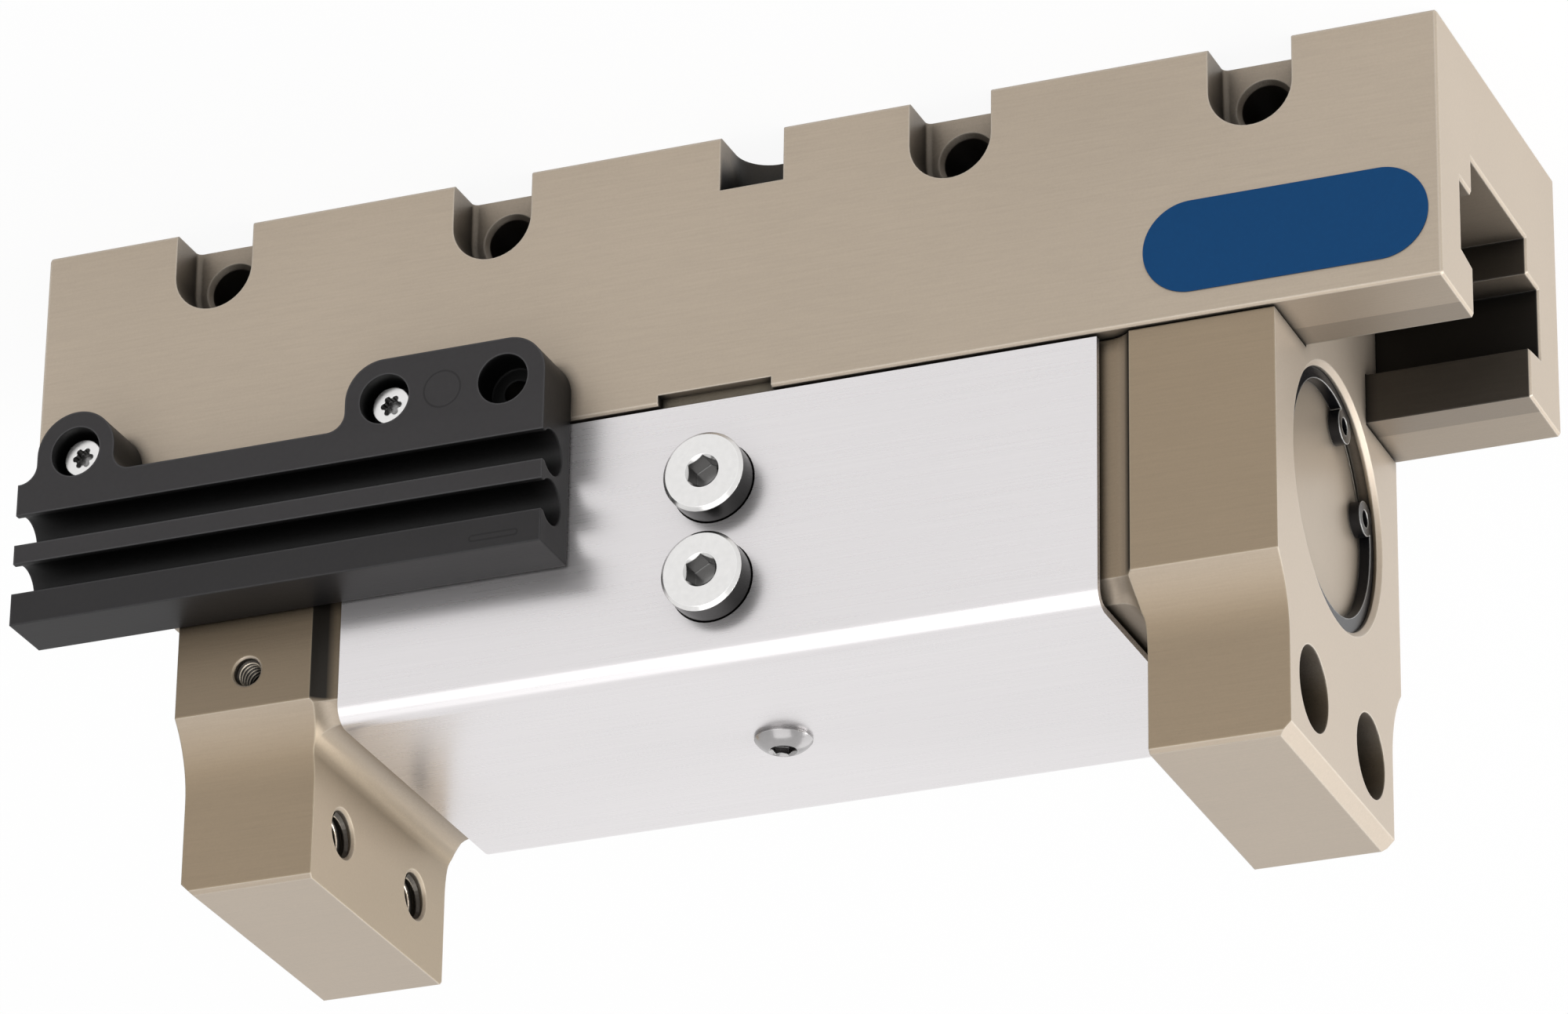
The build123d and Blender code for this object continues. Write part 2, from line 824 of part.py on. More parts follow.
# Centre block: it sits in the key slot and carries the rod and the air ports
block_half = cover_inner_y - seat_gap
clamp_places = [
    (x, y)
    for x in (-clamp_screw_pitch_x / 2, clamp_screw_pitch_x / 2)
    for y in (-clamp_screw_pitch_y / 2, clamp_screw_pitch_y / 2)
]
port_places = [(0, port_a_z), (0, port_b_z)]
port_bottom_y = block_half - port_depth + slide_gap
block_end = Plane.XY.offset(cover_inner - seat_gap)
clamp_seat = cover_inner - seat_gap - clamp_head_recess
clamp_tip = clamp_seat - clamp_screw_length
air_bore_z = bore_z + air_bore_offset
offset_bore_reach = sqrt((rod_diameter / 2) ** 2 - air_bore_offset ** 2)

with BuildPart() as centre_block:
    with BuildSketch(Plane.XY.offset(key_z)) as block_outline:
        Rectangle(block_width, 2 * block_half)
    extrude(block_outline.sketch, amount=cover_inner - seat_gap - key_z)
    block_edges = centre_block.edges().filter_by(Axis.X).filter_by(
        lambda edge: edge.center().Z > cover_inner - slide_gap
    )
    fillet(block_edges, bend_radius + slide_gap)
    with BuildSketch(Plane.XY.offset(key_z)) as foot_outline:
        Rectangle(block_width, foot_width)
    extrude(foot_outline.sketch, amount=-foot_height)
    drill(
        facing_x(block_width / 2, 0, bore_z),
        [(0, 0)],
        rod_diameter + 2 * seat_gap,
        block_width,
    )
    drill(facing_front(-block_half), port_places, plug_thread + 2 * seat_gap, port_depth)
    drill(facing_back(block_half), port_places, port_core, port_depth)
    for side in (-1, 1):
        passage(
            (0, side * port_bottom_y, port_a_z),
            (0, side * (rod_diameter / 2 - air_passage / 2), bore_z),
            air_passage,
        )
        passage(
            (0, side * port_bottom_y, port_b_z),
            (0, side * (offset_bore_reach - air_passage / 2), air_bore_z),
            air_passage,
        )
    drill(block_end, clamp_places, clamp_recess_width, clamp_head_recess)
    drill(block_end, clamp_places, clamp_screw_hole, cover_inner - foot_top)
    drill(
        block_end,
        [(0, 0)],
        cover_screw_diameter + 2 * seat_gap,
        cover_screw_length,
    )
    cylinders(
        Plane.XY.offset(foot_top),
        [(0, 0)],
        set_screw_diameter + 2 * seat_gap,
        bore_z - foot_top,
        Mode.SUBTRACT,
    )

save(centre_block, "centre_block")

# T-nut in the slot, drawn up by the four long screws
nut_bottom = guide_top + nut_top_gap

with BuildPart() as clamping_nut:
    with BuildSketch(facing_x(-nut_length / 2)):
        with BuildLine():
            Polyline(
                (0, nut_bottom),
                (flange_width / 2, nut_bottom),
                (flange_width / 2, ledge_z - ledge_fall),
                (neck_width / 2, ledge_z - seat_gap),
                (neck_width / 2, foot_top - nut_foot_gap),
                (0, foot_top - nut_foot_gap),
            )
            mirror(about=Plane.YZ)
        make_face()
    extrude(amount=nut_length)
    cylinders(
        Plane.XY.offset(clamp_tip - nut_foot_gap),
        clamp_places,
        clamp_screw_diameter + 2 * seat_gap,
        foot_top - clamp_tip,
        Mode.SUBTRACT,
    )

save(clamping_nut, "clamping_nut")

with BuildPart() as block_screws:
    cylinders(Plane.XY.offset(clamp_seat), clamp_places, clamp_head_width, clamp_head_height)
    cylinders(
        Plane.XY.offset(clamp_tip),
        clamp_places,
        clamp_screw_diameter,
        clamp_screw_length + seat_gap,
    )
    sockets(
        Plane.XY.offset(clamp_seat + clamp_head_height),
        clamp_places,
        clamp_key,
        clamp_key_depth,
    )

save(block_screws, "block_screws")

# Rod through the block, with one air passage on its axis and one beside it
rod_end_x = piston_outer - slide_gap
cross_hole_x = piston_inner - air_cross_hole_inset
air_bore_end = cross_hole_x + air_cross_hole

with BuildPart() as piston_rod:
    cylinders(facing_x(-piston_inner, 0, bore_z), [(0, 0)], rod_diameter, 2 * piston_inner)
    cylinders(facing_x(-rod_end_x, 0, bore_z), [(0, 0)], rod_end_diameter, 2 * rod_end_x)
    drill(facing_x(rod_end_x, 0, bore_z), [(0, 0)], air_bore, 2 * rod_end_x)
    drill(facing_x(air_bore_end, 0, air_bore_z), [(0, 0)], air_bore_small, 2 * air_bore_end)
    drill(
        Plane.XY.offset(bore_z + rod_diameter / 2),
        [(-cross_hole_x, 0), (cross_hole_x, 0)],
        air_cross_hole,
        rod_diameter / 2 - air_bore_offset,
    )
    drill(
        facing_front(-rod_diameter / 2),
        [(0, bore_z), (0, air_bore_z)],
        air_passage,
        rod_diameter,
    )
    cylinders(
        Plane.XY.offset(bore_z - rod_diameter / 2 - set_screw_bite),
        [(0, 0)],
        set_screw_diameter + 2 * seat_gap,
        2 * set_screw_bite,
        Mode.SUBTRACT,
    )

save(piston_rod, "piston_rod")

with BuildPart() as rod_set_screw:
    cylinders(
        Plane.XY.offset(bore_z - rod_diameter / 2 + set_screw_bite - seat_gap - set_screw_length),
        [(0, 0)],
        set_screw_diameter,
        set_screw_length,
    )
    sockets(
        Plane.XY.offset(
            bore_z - rod_diameter / 2 + set_screw_bite - seat_gap - set_screw_length
        ).rotated((180, 0, 0)),
        [(0, 0)],
        set_screw_key,
        set_screw_key_depth,
    )

save(rod_set_screw, "rod_set_screw")

# Pistons, their seals and the nuts that hold them, drawn for the +X end of the rod
piston_middle = (piston_inner + piston_outer) / 2
piston_groove_width = piston_seal_width + piston_seal_gap
piston_groove_inner = piston_width - 2 * piston_seal_depth

with BuildPart() as piston:
    cylinders(facing_x(piston_inner, 0, bore_z), [(0, 0)], piston_width, piston_thickness)
    drill(
        facing_x(piston_outer, 0, bore_z),
        [(0, 0)],
        rod_end_diameter + 2 * seat_gap,
        piston_thickness,
    )
    drill(facing_x(piston_outer, 0, bore_z), [(0, 0)], nut_recess_width, rod_nut_thickness)
    with BuildSketch(facing_x(piston_middle - piston_groove_width / 2, 0, bore_z)) as piston_groove:
        Circle(cylinder_bore / 2)
        Circle(piston_groove_inner / 2, mode=Mode.SUBTRACT)
    extrude(piston_groove.sketch, amount=piston_groove_width, mode=Mode.SUBTRACT)

with BuildPart() as piston_seal:
    ring(
        facing_x(piston_middle - piston_seal_width / 2, 0, bore_z),
        cylinder_bore - 2 * shaft_gap,
        piston_groove_inner + 2 * seat_gap,
        piston_seal_width,
    )

with BuildPart() as rod_nut:
    with BuildSketch(facing_x(nut_seat, 0, bore_z)):
        RegularPolygon(rod_nut_width / 2, 6, major_radius=False)
        Circle(rod_end_diameter / 2 + seat_gap, mode=Mode.SUBTRACT)
    extrude(amount=rod_nut_thickness)

for name, piece in {"piston": piston, "piston_seal": piston_seal}.items():
    save(piece, f"{name}_right")
    with BuildPart() as turned:
        add(piece.part, rotation=(0, 0, 180))
    save(turned, f"{name}_left")

with BuildPart() as rod_nuts:
    add(rod_nut.part)
    add(rod_nut.part, rotation=(0, 0, 180))

save(rod_nuts, "rod_nuts")

# Cover: one sheet bent into a U
cover_top = rail_height + cover_top_gap

with BuildPart() as cover:
    with BuildSketch(facing_x(-cover_length / 2)):
        with Locations((0, (cover_top + cover_outer) / 2)):
            Rectangle(2 * cover_outer_y, cover_outer - cover_top)
        with Locations((0, (cover_top + cover_inner) / 2)):
            Rectangle(2 * cover_inner_y, cover_inner - cover_top, mode=Mode.SUBTRACT)
        inner_bends = [
            corner
            for corner in vertices()
            if abs(corner.Y - cover_inner) < seat_gap
        ]
        fillet(inner_bends, bend_radius)
        outer_bends = [
            corner
            for corner in vertices()
            if abs(corner.Y - cover_outer) < seat_gap
        ]
        fillet(outer_bends, bend_radius + sheet_thickness)
    extrude(amount=cover_length)
    drill(facing_front(-cover_outer_y), port_places, port_spot_width, 2 * cover_outer_y)
    drill(Plane.XY.offset(cover_outer), [(0, 0)], cover_screw_hole, 2 * sheet_thickness)

save(cover, "cover")

with BuildPart() as cover_screw:
    dome_rise = cover_head_height - cover_head_rim
    with BuildSketch(Plane.XZ):
        with BuildLine():
            Line((0, cover_outer), (cover_head_width / 2, cover_outer))
            Line(
                (cover_head_width / 2, cover_outer),
                (cover_head_width / 2, cover_outer + cover_head_rim),
            )
            ThreePointArc(
                (cover_head_width / 2, cover_outer + cover_head_rim),
                (0.85 * cover_head_width / 2, cover_outer + cover_head_rim + 0.45 * dome_rise),
                (cover_key_mouth / 2, cover_outer + cover_head_height),
            )
            Line(
                (cover_key_mouth / 2, cover_outer + cover_head_height),
                (0, cover_outer + cover_head_height),
            )
            Line((0, cover_outer + cover_head_height), (0, cover_outer))
        make_face()
    revolve(axis=Axis.Z)
    cylinders(
        Plane.XY.offset(cover_inner - cover_screw_length + slide_gap),
        [(0, 0)],
        cover_screw_diameter,
        cover_screw_length + sheet_thickness,
    )
    sockets(Plane.XY.offset(cover_outer + cover_head_height), [(0, 0)], cover_key, cover_key_depth)
    countersink(
        Plane.XY.offset(cover_outer + cover_head_height),
        [(0, 0)],
        cover_key_mouth,
        (cover_key_mouth - cover_key) / 2,
    )

save(cover_screw, "cover_screw")

# Port plugs and the sealing rings under their heads
plug_face = cover_outer_y + plug_proud
plug_seat = cover_inner_y + ring_thickness

with BuildPart() as port_plugs:
    cylinders(facing_front(-plug_seat), port_places, plug_head_width, plug_face - plug_seat)
    plug_rims = port_plugs.edges().filter_by(
        lambda edge: edge.center().Y < seat_gap - plug_face
    )
    chamfer(plug_rims, plug_edge_chamfer)
    cylinders(facing_back(-plug_seat), port_places, plug_thread, plug_thread_length)
    sockets(facing_front(-plug_face), port_places, plug_key, plug_key_depth)
    countersink(
        facing_front(-plug_face),
        port_places,
        plug_key_mouth,
        (plug_key_mouth - plug_key) / 2,
    )

save(port_plugs, "port_plugs")

with BuildPart() as plug_seals:
    with BuildSketch(facing_front(-block_half)):
        with Locations(*port_places):
            Circle(ring_width / 2)
            Circle(plug_thread / 2 + slide_gap, mode=Mode.SUBTRACT)
    extrude(amount=plug_seat - block_half)

save(plug_seals, "plug_seals")

# Sensor bracket: a bar with two round-bottomed grooves, hung on the rail by a plate
# with two holes at the middle and a round boss at the end
bar_end = bar_top + bar_height
plate_end = bracket_start + plate_length
groove_y = bracket_face + groove_inset
groove_z = bar_top + first_groove_drop

with BuildPart() as sensor_bracket:
    with BuildSketch(rail_front):
        with Locations((bracket_start + bracket_length / 2, (bar_top + bar_end) / 2)):
            Rectangle(bracket_length, bar_height)
        with Locations((bracket_start + plate_length / 2, (bracket_top + bar_top) / 2)):
            Rectangle(plate_length, bar_top - bracket_top)
        with Locations((first_hole_x, bracket_top + boss_radius)):
            Circle(boss_radius)
        with Locations((first_hole_x, (bracket_top + boss_radius + bar_top) / 2)):
            Rectangle(2 * boss_radius, bar_top - bracket_top - boss_radius)
        plate_corners = [
            corner
            for corner in vertices()
            if abs(corner.Y - bracket_top) < seat_gap and corner.X < plate_end + seat_gap
        ]
        fillet(plate_corners, plate_corner_radius)
        root_corners = [
            corner
            for corner in vertices()
            if abs(corner.Y - bar_top) < seat_gap
            and plate_end - seat_gap < corner.X < first_hole_x + boss_radius + seat_gap
        ]
        fillet(root_corners, boss_root_radius)
    extrude(amount=bracket_depth)
    with BuildSketch(facing_x(bracket_start)) as grooves:
        with Locations((groove_y, groove_z), (groove_y, groove_z + groove_pitch)):
            Circle(groove_diameter / 2)
        with Locations(
            (bracket_face, groove_z),
            (bracket_face, groove_z + groove_pitch),
        ):
            Rectangle(2 * groove_inset, groove_mouth)
    extrude(grooves.sketch, amount=bracket_length, mode=Mode.SUBTRACT)
    all_hole_places = bracket_screw_places + [(spare_hole_x, bracket_hole_z)]
    drill(facing_front(bracket_face), all_hole_places, head_recess_width, head_recess_depth)
    drill(facing_front(bracket_face), all_hole_places, bracket_screw_hole, bracket_depth)

save(sensor_bracket, "sensor_bracket")

head_seat = bracket_face + head_recess_depth

with BuildPart() as bracket_screws:
    cylinders(
        facing_front(head_seat),
        bracket_screw_places,
        bracket_head_width,
        bracket_head_height,
    )
    screw_rims = bracket_screws.edges().filter_by(
        lambda edge: edge.center().Y < head_seat - bracket_head_height + seat_gap
    )
    chamfer(screw_rims, slide_gap)
    cylinders(
        facing_front(head_seat),
        bracket_screw_places,
        bracket_screw_diameter,
        -bracket_screw_length,
    )
    lobed_sockets(
        facing_front(head_seat - bracket_head_height),
        bracket_screw_places,
        bracket_key,
        bracket_key_depth,
    )

save(bracket_screws, "bracket_screws")
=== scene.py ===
"""Looks of the small parts gripper: finishes, threads, label and stage round its CAD frame."""

from math import cos, pi, radians, sin

import bmesh
import bpy
from bpy.props import FloatProperty, FloatVectorProperty, IntProperty, PointerProperty
from mathutils import Euler, Matrix, Vector


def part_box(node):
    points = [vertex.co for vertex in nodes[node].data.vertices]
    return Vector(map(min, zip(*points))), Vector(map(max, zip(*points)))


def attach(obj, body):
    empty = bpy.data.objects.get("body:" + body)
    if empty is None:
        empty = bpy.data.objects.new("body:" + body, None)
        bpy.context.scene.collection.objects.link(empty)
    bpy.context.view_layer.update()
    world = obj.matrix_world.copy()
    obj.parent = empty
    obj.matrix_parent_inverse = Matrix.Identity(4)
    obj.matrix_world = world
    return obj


bl_info = {
    "name": "Small parts gripper",
    "version": (1, 0, 0),
    "blender": (4, 5, 0),
    "location": "3D View > Sidebar > Gripper",
    "description": "Dresses a long-stroke parallel gripper for small parts",
    "category": "Object",
}

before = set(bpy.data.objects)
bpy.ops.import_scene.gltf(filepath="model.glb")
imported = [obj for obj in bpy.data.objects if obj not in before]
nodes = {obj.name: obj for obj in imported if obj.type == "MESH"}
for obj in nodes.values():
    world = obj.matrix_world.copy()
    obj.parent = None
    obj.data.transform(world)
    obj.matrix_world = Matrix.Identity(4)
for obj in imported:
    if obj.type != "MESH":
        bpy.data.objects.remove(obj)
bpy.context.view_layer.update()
rail_low, rail_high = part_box("guide_rail")
bracket_low, bracket_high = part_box("sensor_bracket")
MM = 0.001
SIDES = {"right": 1, "left": -1}

# Places on the rail
SLOT_HALF_WIDTH = 10.75 * MM
SLOT_NECK = 8.25 * MM
SLOT_END = rail_high.x - 0.2 * MM
CHANNEL_CEILING = 9.45 * MM
LIPS_START = 18.5 * MM
POCKET_X = -3.0 * MM
POCKET_HALF_WIDTH = 2.87 * MM
POCKET_BACK = 9.65 * MM
POCKET_FRONT = rail_high.y - 0.3 * MM
POCKET_FLOOR = 5.03 * MM

# Places on the jaws, and the tints of the painted shade on their fronts, backs and finger faces
RIGHT_HOLLOW = 34.6 * MM
LEFT_HOLLOW = -35.7 * MM
FINGER_BLOCK_START = 36.1 * MM
BARREL_SIDE = 14.475 * MM
BARREL_END = 45.4 * MM
# Where the painted shadow of the bracket on the right jaw's front begins
BRACKET_SHADOW_START = 32.0 * MM
FRONT_BACK_SHADE_TINT = (0.66, 0.60, 0.50)
FINGER_FACE_SHADE_TINT = (0.73, 0.69, 0.60)

# Places on the bracket; a moulding mark is its middle's x and z, its half length and its radius
LOWER_BAR_START = bracket_high.z - 4.3 * MM
HOLE_ROW_Z = bracket_high.z - 15.3 * MM
FREE_HOLE_X = bracket_low.x + 3.8 * MM
FREE_HOLE_RADIUS = 2.29 * MM
FREE_HOLE_MOUTH = bracket_low.y + 0.5 * MM
MOULDING_MARKS = (
    (bracket_low.x + 9.3 * MM, HOLE_ROW_Z, 0.0, 1.65 * MM),
    (bracket_low.x + 4.2 * MM, bracket_high.z - 1.1 * MM, 1.9 * MM, 0.25 * MM),
)

# Tapped holes
FINGER_THREAD_RADIUS = 2.0 * MM
FINGER_THREAD_DEPTH = 4.9 * MM
FINGER_THREAD_MOUTH = 36.95 * MM
FINGER_THREAD_Y = 7.15 * MM
FINGER_THREAD_Z = 54.2 * MM
SIDE_THREAD_RADIUS = 1.25 * MM
SIDE_THREAD_DEPTH = 3.2 * MM
SIDE_THREAD_MOUTH = 15.3 * MM
SIDE_THREAD_X = 42.0 * MM
SIDE_THREAD_Z = 42.1 * MM
PORT_RADIUS = 2.1 * MM
PORT_DEPTH = 4.8 * MM
PORT_MOUTH = 14.7 * MM
PORT_HEIGHTS = (31.8 * MM, 40.7 * MM)

# A thread ridge in shares of its pitch, and how far its foot sinks into the wall
RIDGE_FOOT = 0.44
RIDGE_CREST = 0.06
RIDGE_SINK = 0.02 * MM

# Place and side of each square lamp in metres, and the point that all of them face
LAMPS = {
    "overhead": ((-0.10, -0.50, 0.85), 0.9),
    "end": ((-1.10, 0.25, 0.22), 0.9),
    "back": ((-0.50, 1.00, 0.50), 0.9),
    "front": ((0.10, -1.20, 0.55), 1.0),
}
LAMP_TARGET = Vector((0.0, 0.0, 0.03))
FLOOR_GLOW_SHARE = 0.92


def around(place, half_width=0.01 * MM):
    """Start and end of a change that is centred on a place."""
    return place - half_width, place + half_width


def colour(name, value, description):
    """A colour that a user can change."""
    return FloatVectorProperty(
        name=name, description=description, subtype="COLOR", size=3, min=0.0, max=1.0, default=value
    )


def length(name, value, description):
    """A length in metres that a user can change."""
    return FloatProperty(
        name=name, description=description, unit="LENGTH", precision=5, default=value
    )


def amount(name, value, description):
    """A power or strength that a user can change."""
    return FloatProperty(name=name, description=description, default=value, min=0.0)


class GripperColours(bpy.types.PropertyGroup):
    """Colours of the gripper's finishes."""

    anodised: colour("Anodised", (0.440, 0.368, 0.290), "Hard anodised rail")
    jaw: colour("Jaws", (0.438, 0.370, 0.298), "Hard anodised jaws")
    # Painted shade: a darker copy of the anodising for the centre block, which lies in shade inside
    # the cover
    distributor_in_shade: colour("Distributor", (0.26, 0.22, 0.165), "Hard anodised centre block")
    # Painted shade and highlight: the threads' dark colour stands for the shade in their holes; the
    # crest colour is a painted highlight
    thread: colour("Threads", (0.045, 0.038, 0.030), "Cut threads of the jaws")
    thread_crest_highlight: colour("Thread crests", (0.80, 0.70, 0.56), "Bright crests of the threads")
    # Painted highlight: the lighter colour that the anodised edges take
    anodised_edge_highlight: colour("Anodised edges", (0.80, 0.74, 0.65), "Broken edges of the anodising")
    cap: colour("End caps", (0.395, 0.330, 0.260), "Turned end caps of the cylinders")
    sheet: colour("Cover sheet", (0.755, 0.732, 0.738), "Brushed stainless cover")
    nickel: colour("Nickel", (0.80, 0.79, 0.78), "Polished plugs and screws")
    # Painted highlight: the lighter colour that the plugs' and screws' edges take
    nickel_edge_highlight: colour("Nickel edges", (0.95, 0.95, 0.94), "Bright edges of plugs and screws")
    # Painted shade: the cover screw takes a darker copy of the nickel, in place of its dark
    # reflections
    button: colour("Cover screw", (0.36, 0.35, 0.35), "Plated domed screw of the cover")
    steel: colour("Steel", (0.42, 0.42, 0.42), "Machined steel inside")
    piston: colour("Pistons", (0.55, 0.54, 0.53), "Machined pistons")
    circlip: colour("Circlips", (0.012, 0.012, 0.014), "Black phosphated rings")
    # Painted highlight: the lighter colour that the circlips' edges take
    circlip_edge_highlight: colour("Circlip edges", (0.72, 0.71, 0.69), "Worn edges of the rings")
    plastic: colour("Bracket", (0.033, 0.031, 0.032), "Black moulded sensor bracket")
    # Painted highlight: the lighter colour that the bracket's edges take
    plastic_edge_highlight: colour("Bracket edges", (0.13, 0.13, 0.135), "Edges of the moulded bracket")
    rubber: colour("Seals", (0.02, 0.02, 0.02), "Seals and rings")
    bronze: colour("Bushes", (0.50, 0.33, 0.14), "Sintered rod bushes")
    label: colour("Label", (0.0015, 0.048, 0.150), "Bare blue label")


class GripperThreads(bpy.types.PropertyGroup):
    """Sizes of the thread ridges in the tapped holes."""

    finger_pitch: length("Finger thread pitch", 0.7 * MM, "Pitch of the M4 finger threads")
    finger_height: length("Finger ridge height", 0.36 * MM, "Height of the finger threads' ridges")
    side_pitch: length("Side thread pitch", 0.45 * MM, "Pitch of the M2.5 side threads")
    side_height: length("Side ridge height", 0.23 * MM, "Height of the side threads' ridges")
    port_pitch: length("Port thread pitch", 0.8 * MM, "Pitch of the M5 port threads")
    port_height: length("Port ridge height", 0.25 * MM, "Height of the port threads' ridges")
    steps: IntProperty(name="Steps", description="Steps in one turn of a ridge", default=36, min=8)


class GripperLabel(bpy.types.PropertyGroup):
    """Size and place of the bare label on the rail's front."""

    low_x: length("Start", rail_low.x + 1.05 * MM, "End of the label nearer the rail's end")
    high_x: length("End", rail_low.x + 25.25 * MM, "End of the label nearer the middle")
    low_z: length("Lower edge", 13.6 * MM, "Edge of the label that is nearer the mounting face")
    high_z: length("Upper edge", 21.8 * MM, "Edge of the label that is nearer the jaws")
    thickness: length("Thickness", 0.10 * MM, "How far the label stands proud of the rail")
    border: length("Edge", 0.05 * MM, "Width of the label's rounded edge")


class GripperStage(bpy.types.PropertyGroup):
    """Camera, floor and lamps."""

    lens: FloatProperty(
        name="Lens", description="Focal length in millimetres", default=175.5, min=1.0
    )
    camera_place: FloatVectorProperty(
        name="Camera place",
        description="Where the camera stands",
        subtype="TRANSLATION",
        unit="LENGTH",
        default=(-0.223288, -0.535110, 0.300069),
    )
    camera_turn: FloatVectorProperty(
        name="Camera turn",
        description="How the camera is turned",
        subtype="EULER",
        unit="ROTATION",
        default=tuple(radians(angle) for angle in (-64.7841, 0.8063, 157.7029)),
    )
    floor: colour("Floor", (0.96, 0.96, 0.96), "Pale floor")
    floor_size: length("Floor size", 12.0, "Side of the square floor")
    overhead: amount("Overhead lamp", 2.3, "Power in watts")
    end: amount("End lamp", 14.5, "Power in watts")
    front: amount("Front lamp", 3.2, "Power in watts")
    back: amount("Back lamp", 2.0, "Power in watts")
    room: amount("Room light", 0.55, "Strength of the room's light on the object")


# Shader building


class Finish:
    """A node material under construction."""

    def __init__(self, name, base, metallic, roughness):
        self.material = bpy.data.materials.new(name)
        self.material.use_nodes = True
        self.tree = self.material.node_tree
        self.shader = self.tree.nodes["Principled BSDF"]
        self.shader.inputs["Base Color"].default_value = (*base, 1.0)
        self.shader.inputs["Metallic"].default_value = metallic
        self.shader.inputs["Roughness"].default_value = roughness
        self.place = self.node("ShaderNodeTexCoord").outputs["Object"]
        self.relief = None

    def node(self, kind, settings=None, **inputs):
        """A new node with its settings and inputs; an input is a value or an output to link."""
        made = self.tree.nodes.new(kind)
        for key, value in (settings or {}).items():
            setattr(made, key, value)
        for key, value in inputs.items():
            self.feed(made.inputs[key.replace("_", " ")], value)
        return made

    def feed(self, socket, value):
        """Links an output to the socket or sets the value on it."""
        if isinstance(value, bpy.types.NodeSocket):
            self.tree.links.new(value, socket)
        elif hasattr(socket.default_value, "__len__"):
            socket.default_value = value[: len(socket.default_value)]
        else:
            socket.default_value = value

    def grain(self, scale, detail=2.0, roughness=0.5):
        """Noise whose scale is given for each axis, in marks per metre."""
        mapping = self.node("ShaderNodeMapping", Vector=self.place, Scale=scale)
        noise = self.node(
            "ShaderNodeTexNoise",
            Vector=mapping.outputs["Vector"],
            Scale=1.0,
            Detail=detail,
            Roughness=roughness,
        )
        return noise.outputs["Fac"]

    def spread(self, value, low, high, from_low=0.0, from_high=1.0):
        """The value mapped from one range to another."""
        mapped = self.node(
            "ShaderNodeMapRange",
            Value=value,
            From_Min=from_low,
            From_Max=from_high,
            To_Min=low,
            To_Max=high,
        )
        return mapped.outputs["Result"]

    def rises(self, value, start, end):
        """Mask that is 0 up to the start and 1 from the end on."""
        return self.spread(value, 0.0, 1.0, start, end)

    def falls(self, value, start, end):
        """Mask that is 1 up to the start and 0 from the end on."""
        return self.spread(value, 1.0, 0.0, start, end)

    def all_of(self, first, *others):
        """Mask of where every given mask holds."""
        for other in others:
            first = self.math("MULTIPLY", first, other)
        return first

    def shade(self, colour_in, factor_low, factor_high, value):
        """The colour made darker and lighter by the value."""
        scale = self.spread(value, factor_low, factor_high)
        made = self.node("ShaderNodeVectorMath", {"operation": "SCALE"}, Scale=scale)
        self.feed(made.inputs[0], colour_in)
        return made.outputs["Vector"]

    def tint(self, colour_in, hue, amount):
        """The colour multiplied by the hue where the amount is 1, and kept where it is 0."""
        share = self.blend(amount, (1.0, 1.0, 1.0, 1.0), rgba(hue))
        made = self.node("ShaderNodeVectorMath", {"operation": "MULTIPLY"})
        self.feed(made.inputs[0], colour_in)
        self.feed(made.inputs[1], share)
        return made.outputs["Vector"]

    def blend(self, amount, first, second):
        """Mix of two colours; the amount is a value or an output."""
        mixed = self.node("ShaderNodeMix", {"data_type": "RGBA"})
        self.feed(mixed.inputs["Factor"], amount)
        self.feed(mixed.inputs[6], first)
        self.feed(mixed.inputs[7], second)
        return mixed.outputs[2]

    def edges(self, radius, amount, from_low=0.90, from_high=0.995):
        """Mask of the edges that take a painted highlight: where the rounded normal leaves the true
        one.
        """
        rounded = self.node("ShaderNodeBevel", {"samples": 4}, Radius=radius)
        true_normal = self.node("ShaderNodeNewGeometry").outputs["Normal"]
        match = self.node("ShaderNodeVectorMath", {"operation": "DOT_PRODUCT"})
        self.feed(match.inputs[0], rounded.outputs["Normal"])
        self.feed(match.inputs[1], true_normal)
        self.relief = rounded.outputs["Normal"]
        return self.spread(match.outputs["Value"], amount, 0.0, from_low, from_high)

    def bump(self, height, distance, strength=1.0):
        """Relief on top of what there is."""
        inputs = {"Height": height, "Distance": distance, "Strength": strength}
        if self.relief is not None:
            inputs["Normal"] = self.relief
        self.relief = self.node("ShaderNodeBump", **inputs).outputs["Normal"]

    def openness(self, reach, alone):
        """1 in the open, and less inside holes; alone means that other pieces don't count."""
        around_it = self.node(
            "ShaderNodeAmbientOcclusion", {"samples": 4, "only_local": alone}, Distance=reach
        )
        return around_it.outputs["AO"]

    def crevice_shade(self, colour_in, reach, darkest, closed=0.1, clear=0.75, alone=True):
        """Painted shade: the colour made darker where the surface lies deep inside a hole, slot or
        corner.
        """
        light = self.rises(self.openness(reach, alone), closed, clear)
        return self.shade(colour_in, darkest, 1.0, light)

    def along(self, axis):
        """Place of the surface along one axis of the gripper."""
        return self.node("ShaderNodeSeparateXYZ", Vector=self.place).outputs[axis]

    def facing(self, axis):
        """How far the surface faces one axis of the gripper, from -1 to 1."""
        turned = self.node("ShaderNodeTexCoord").outputs["Normal"]
        return self.node("ShaderNodeSeparateXYZ", Vector=turned).outputs[axis]

    def math(self, operation, first, second=0.0):
        """One sum with two values or outputs."""
        made = self.node("ShaderNodeMath", {"operation": operation})
        self.feed(made.inputs[0], first)
        self.feed(made.inputs[1], second)
        return made.outputs["Value"]

    def size_of(self, value):
        """The value without its sign."""
        return self.math("ABSOLUTE", value)

    def reach(self, first, second):
        """Length of the line whose two sides are given."""
        squares = self.math("ADD", self.all_of(first, first), self.all_of(second, second))
        return self.math("SQRT", squares)

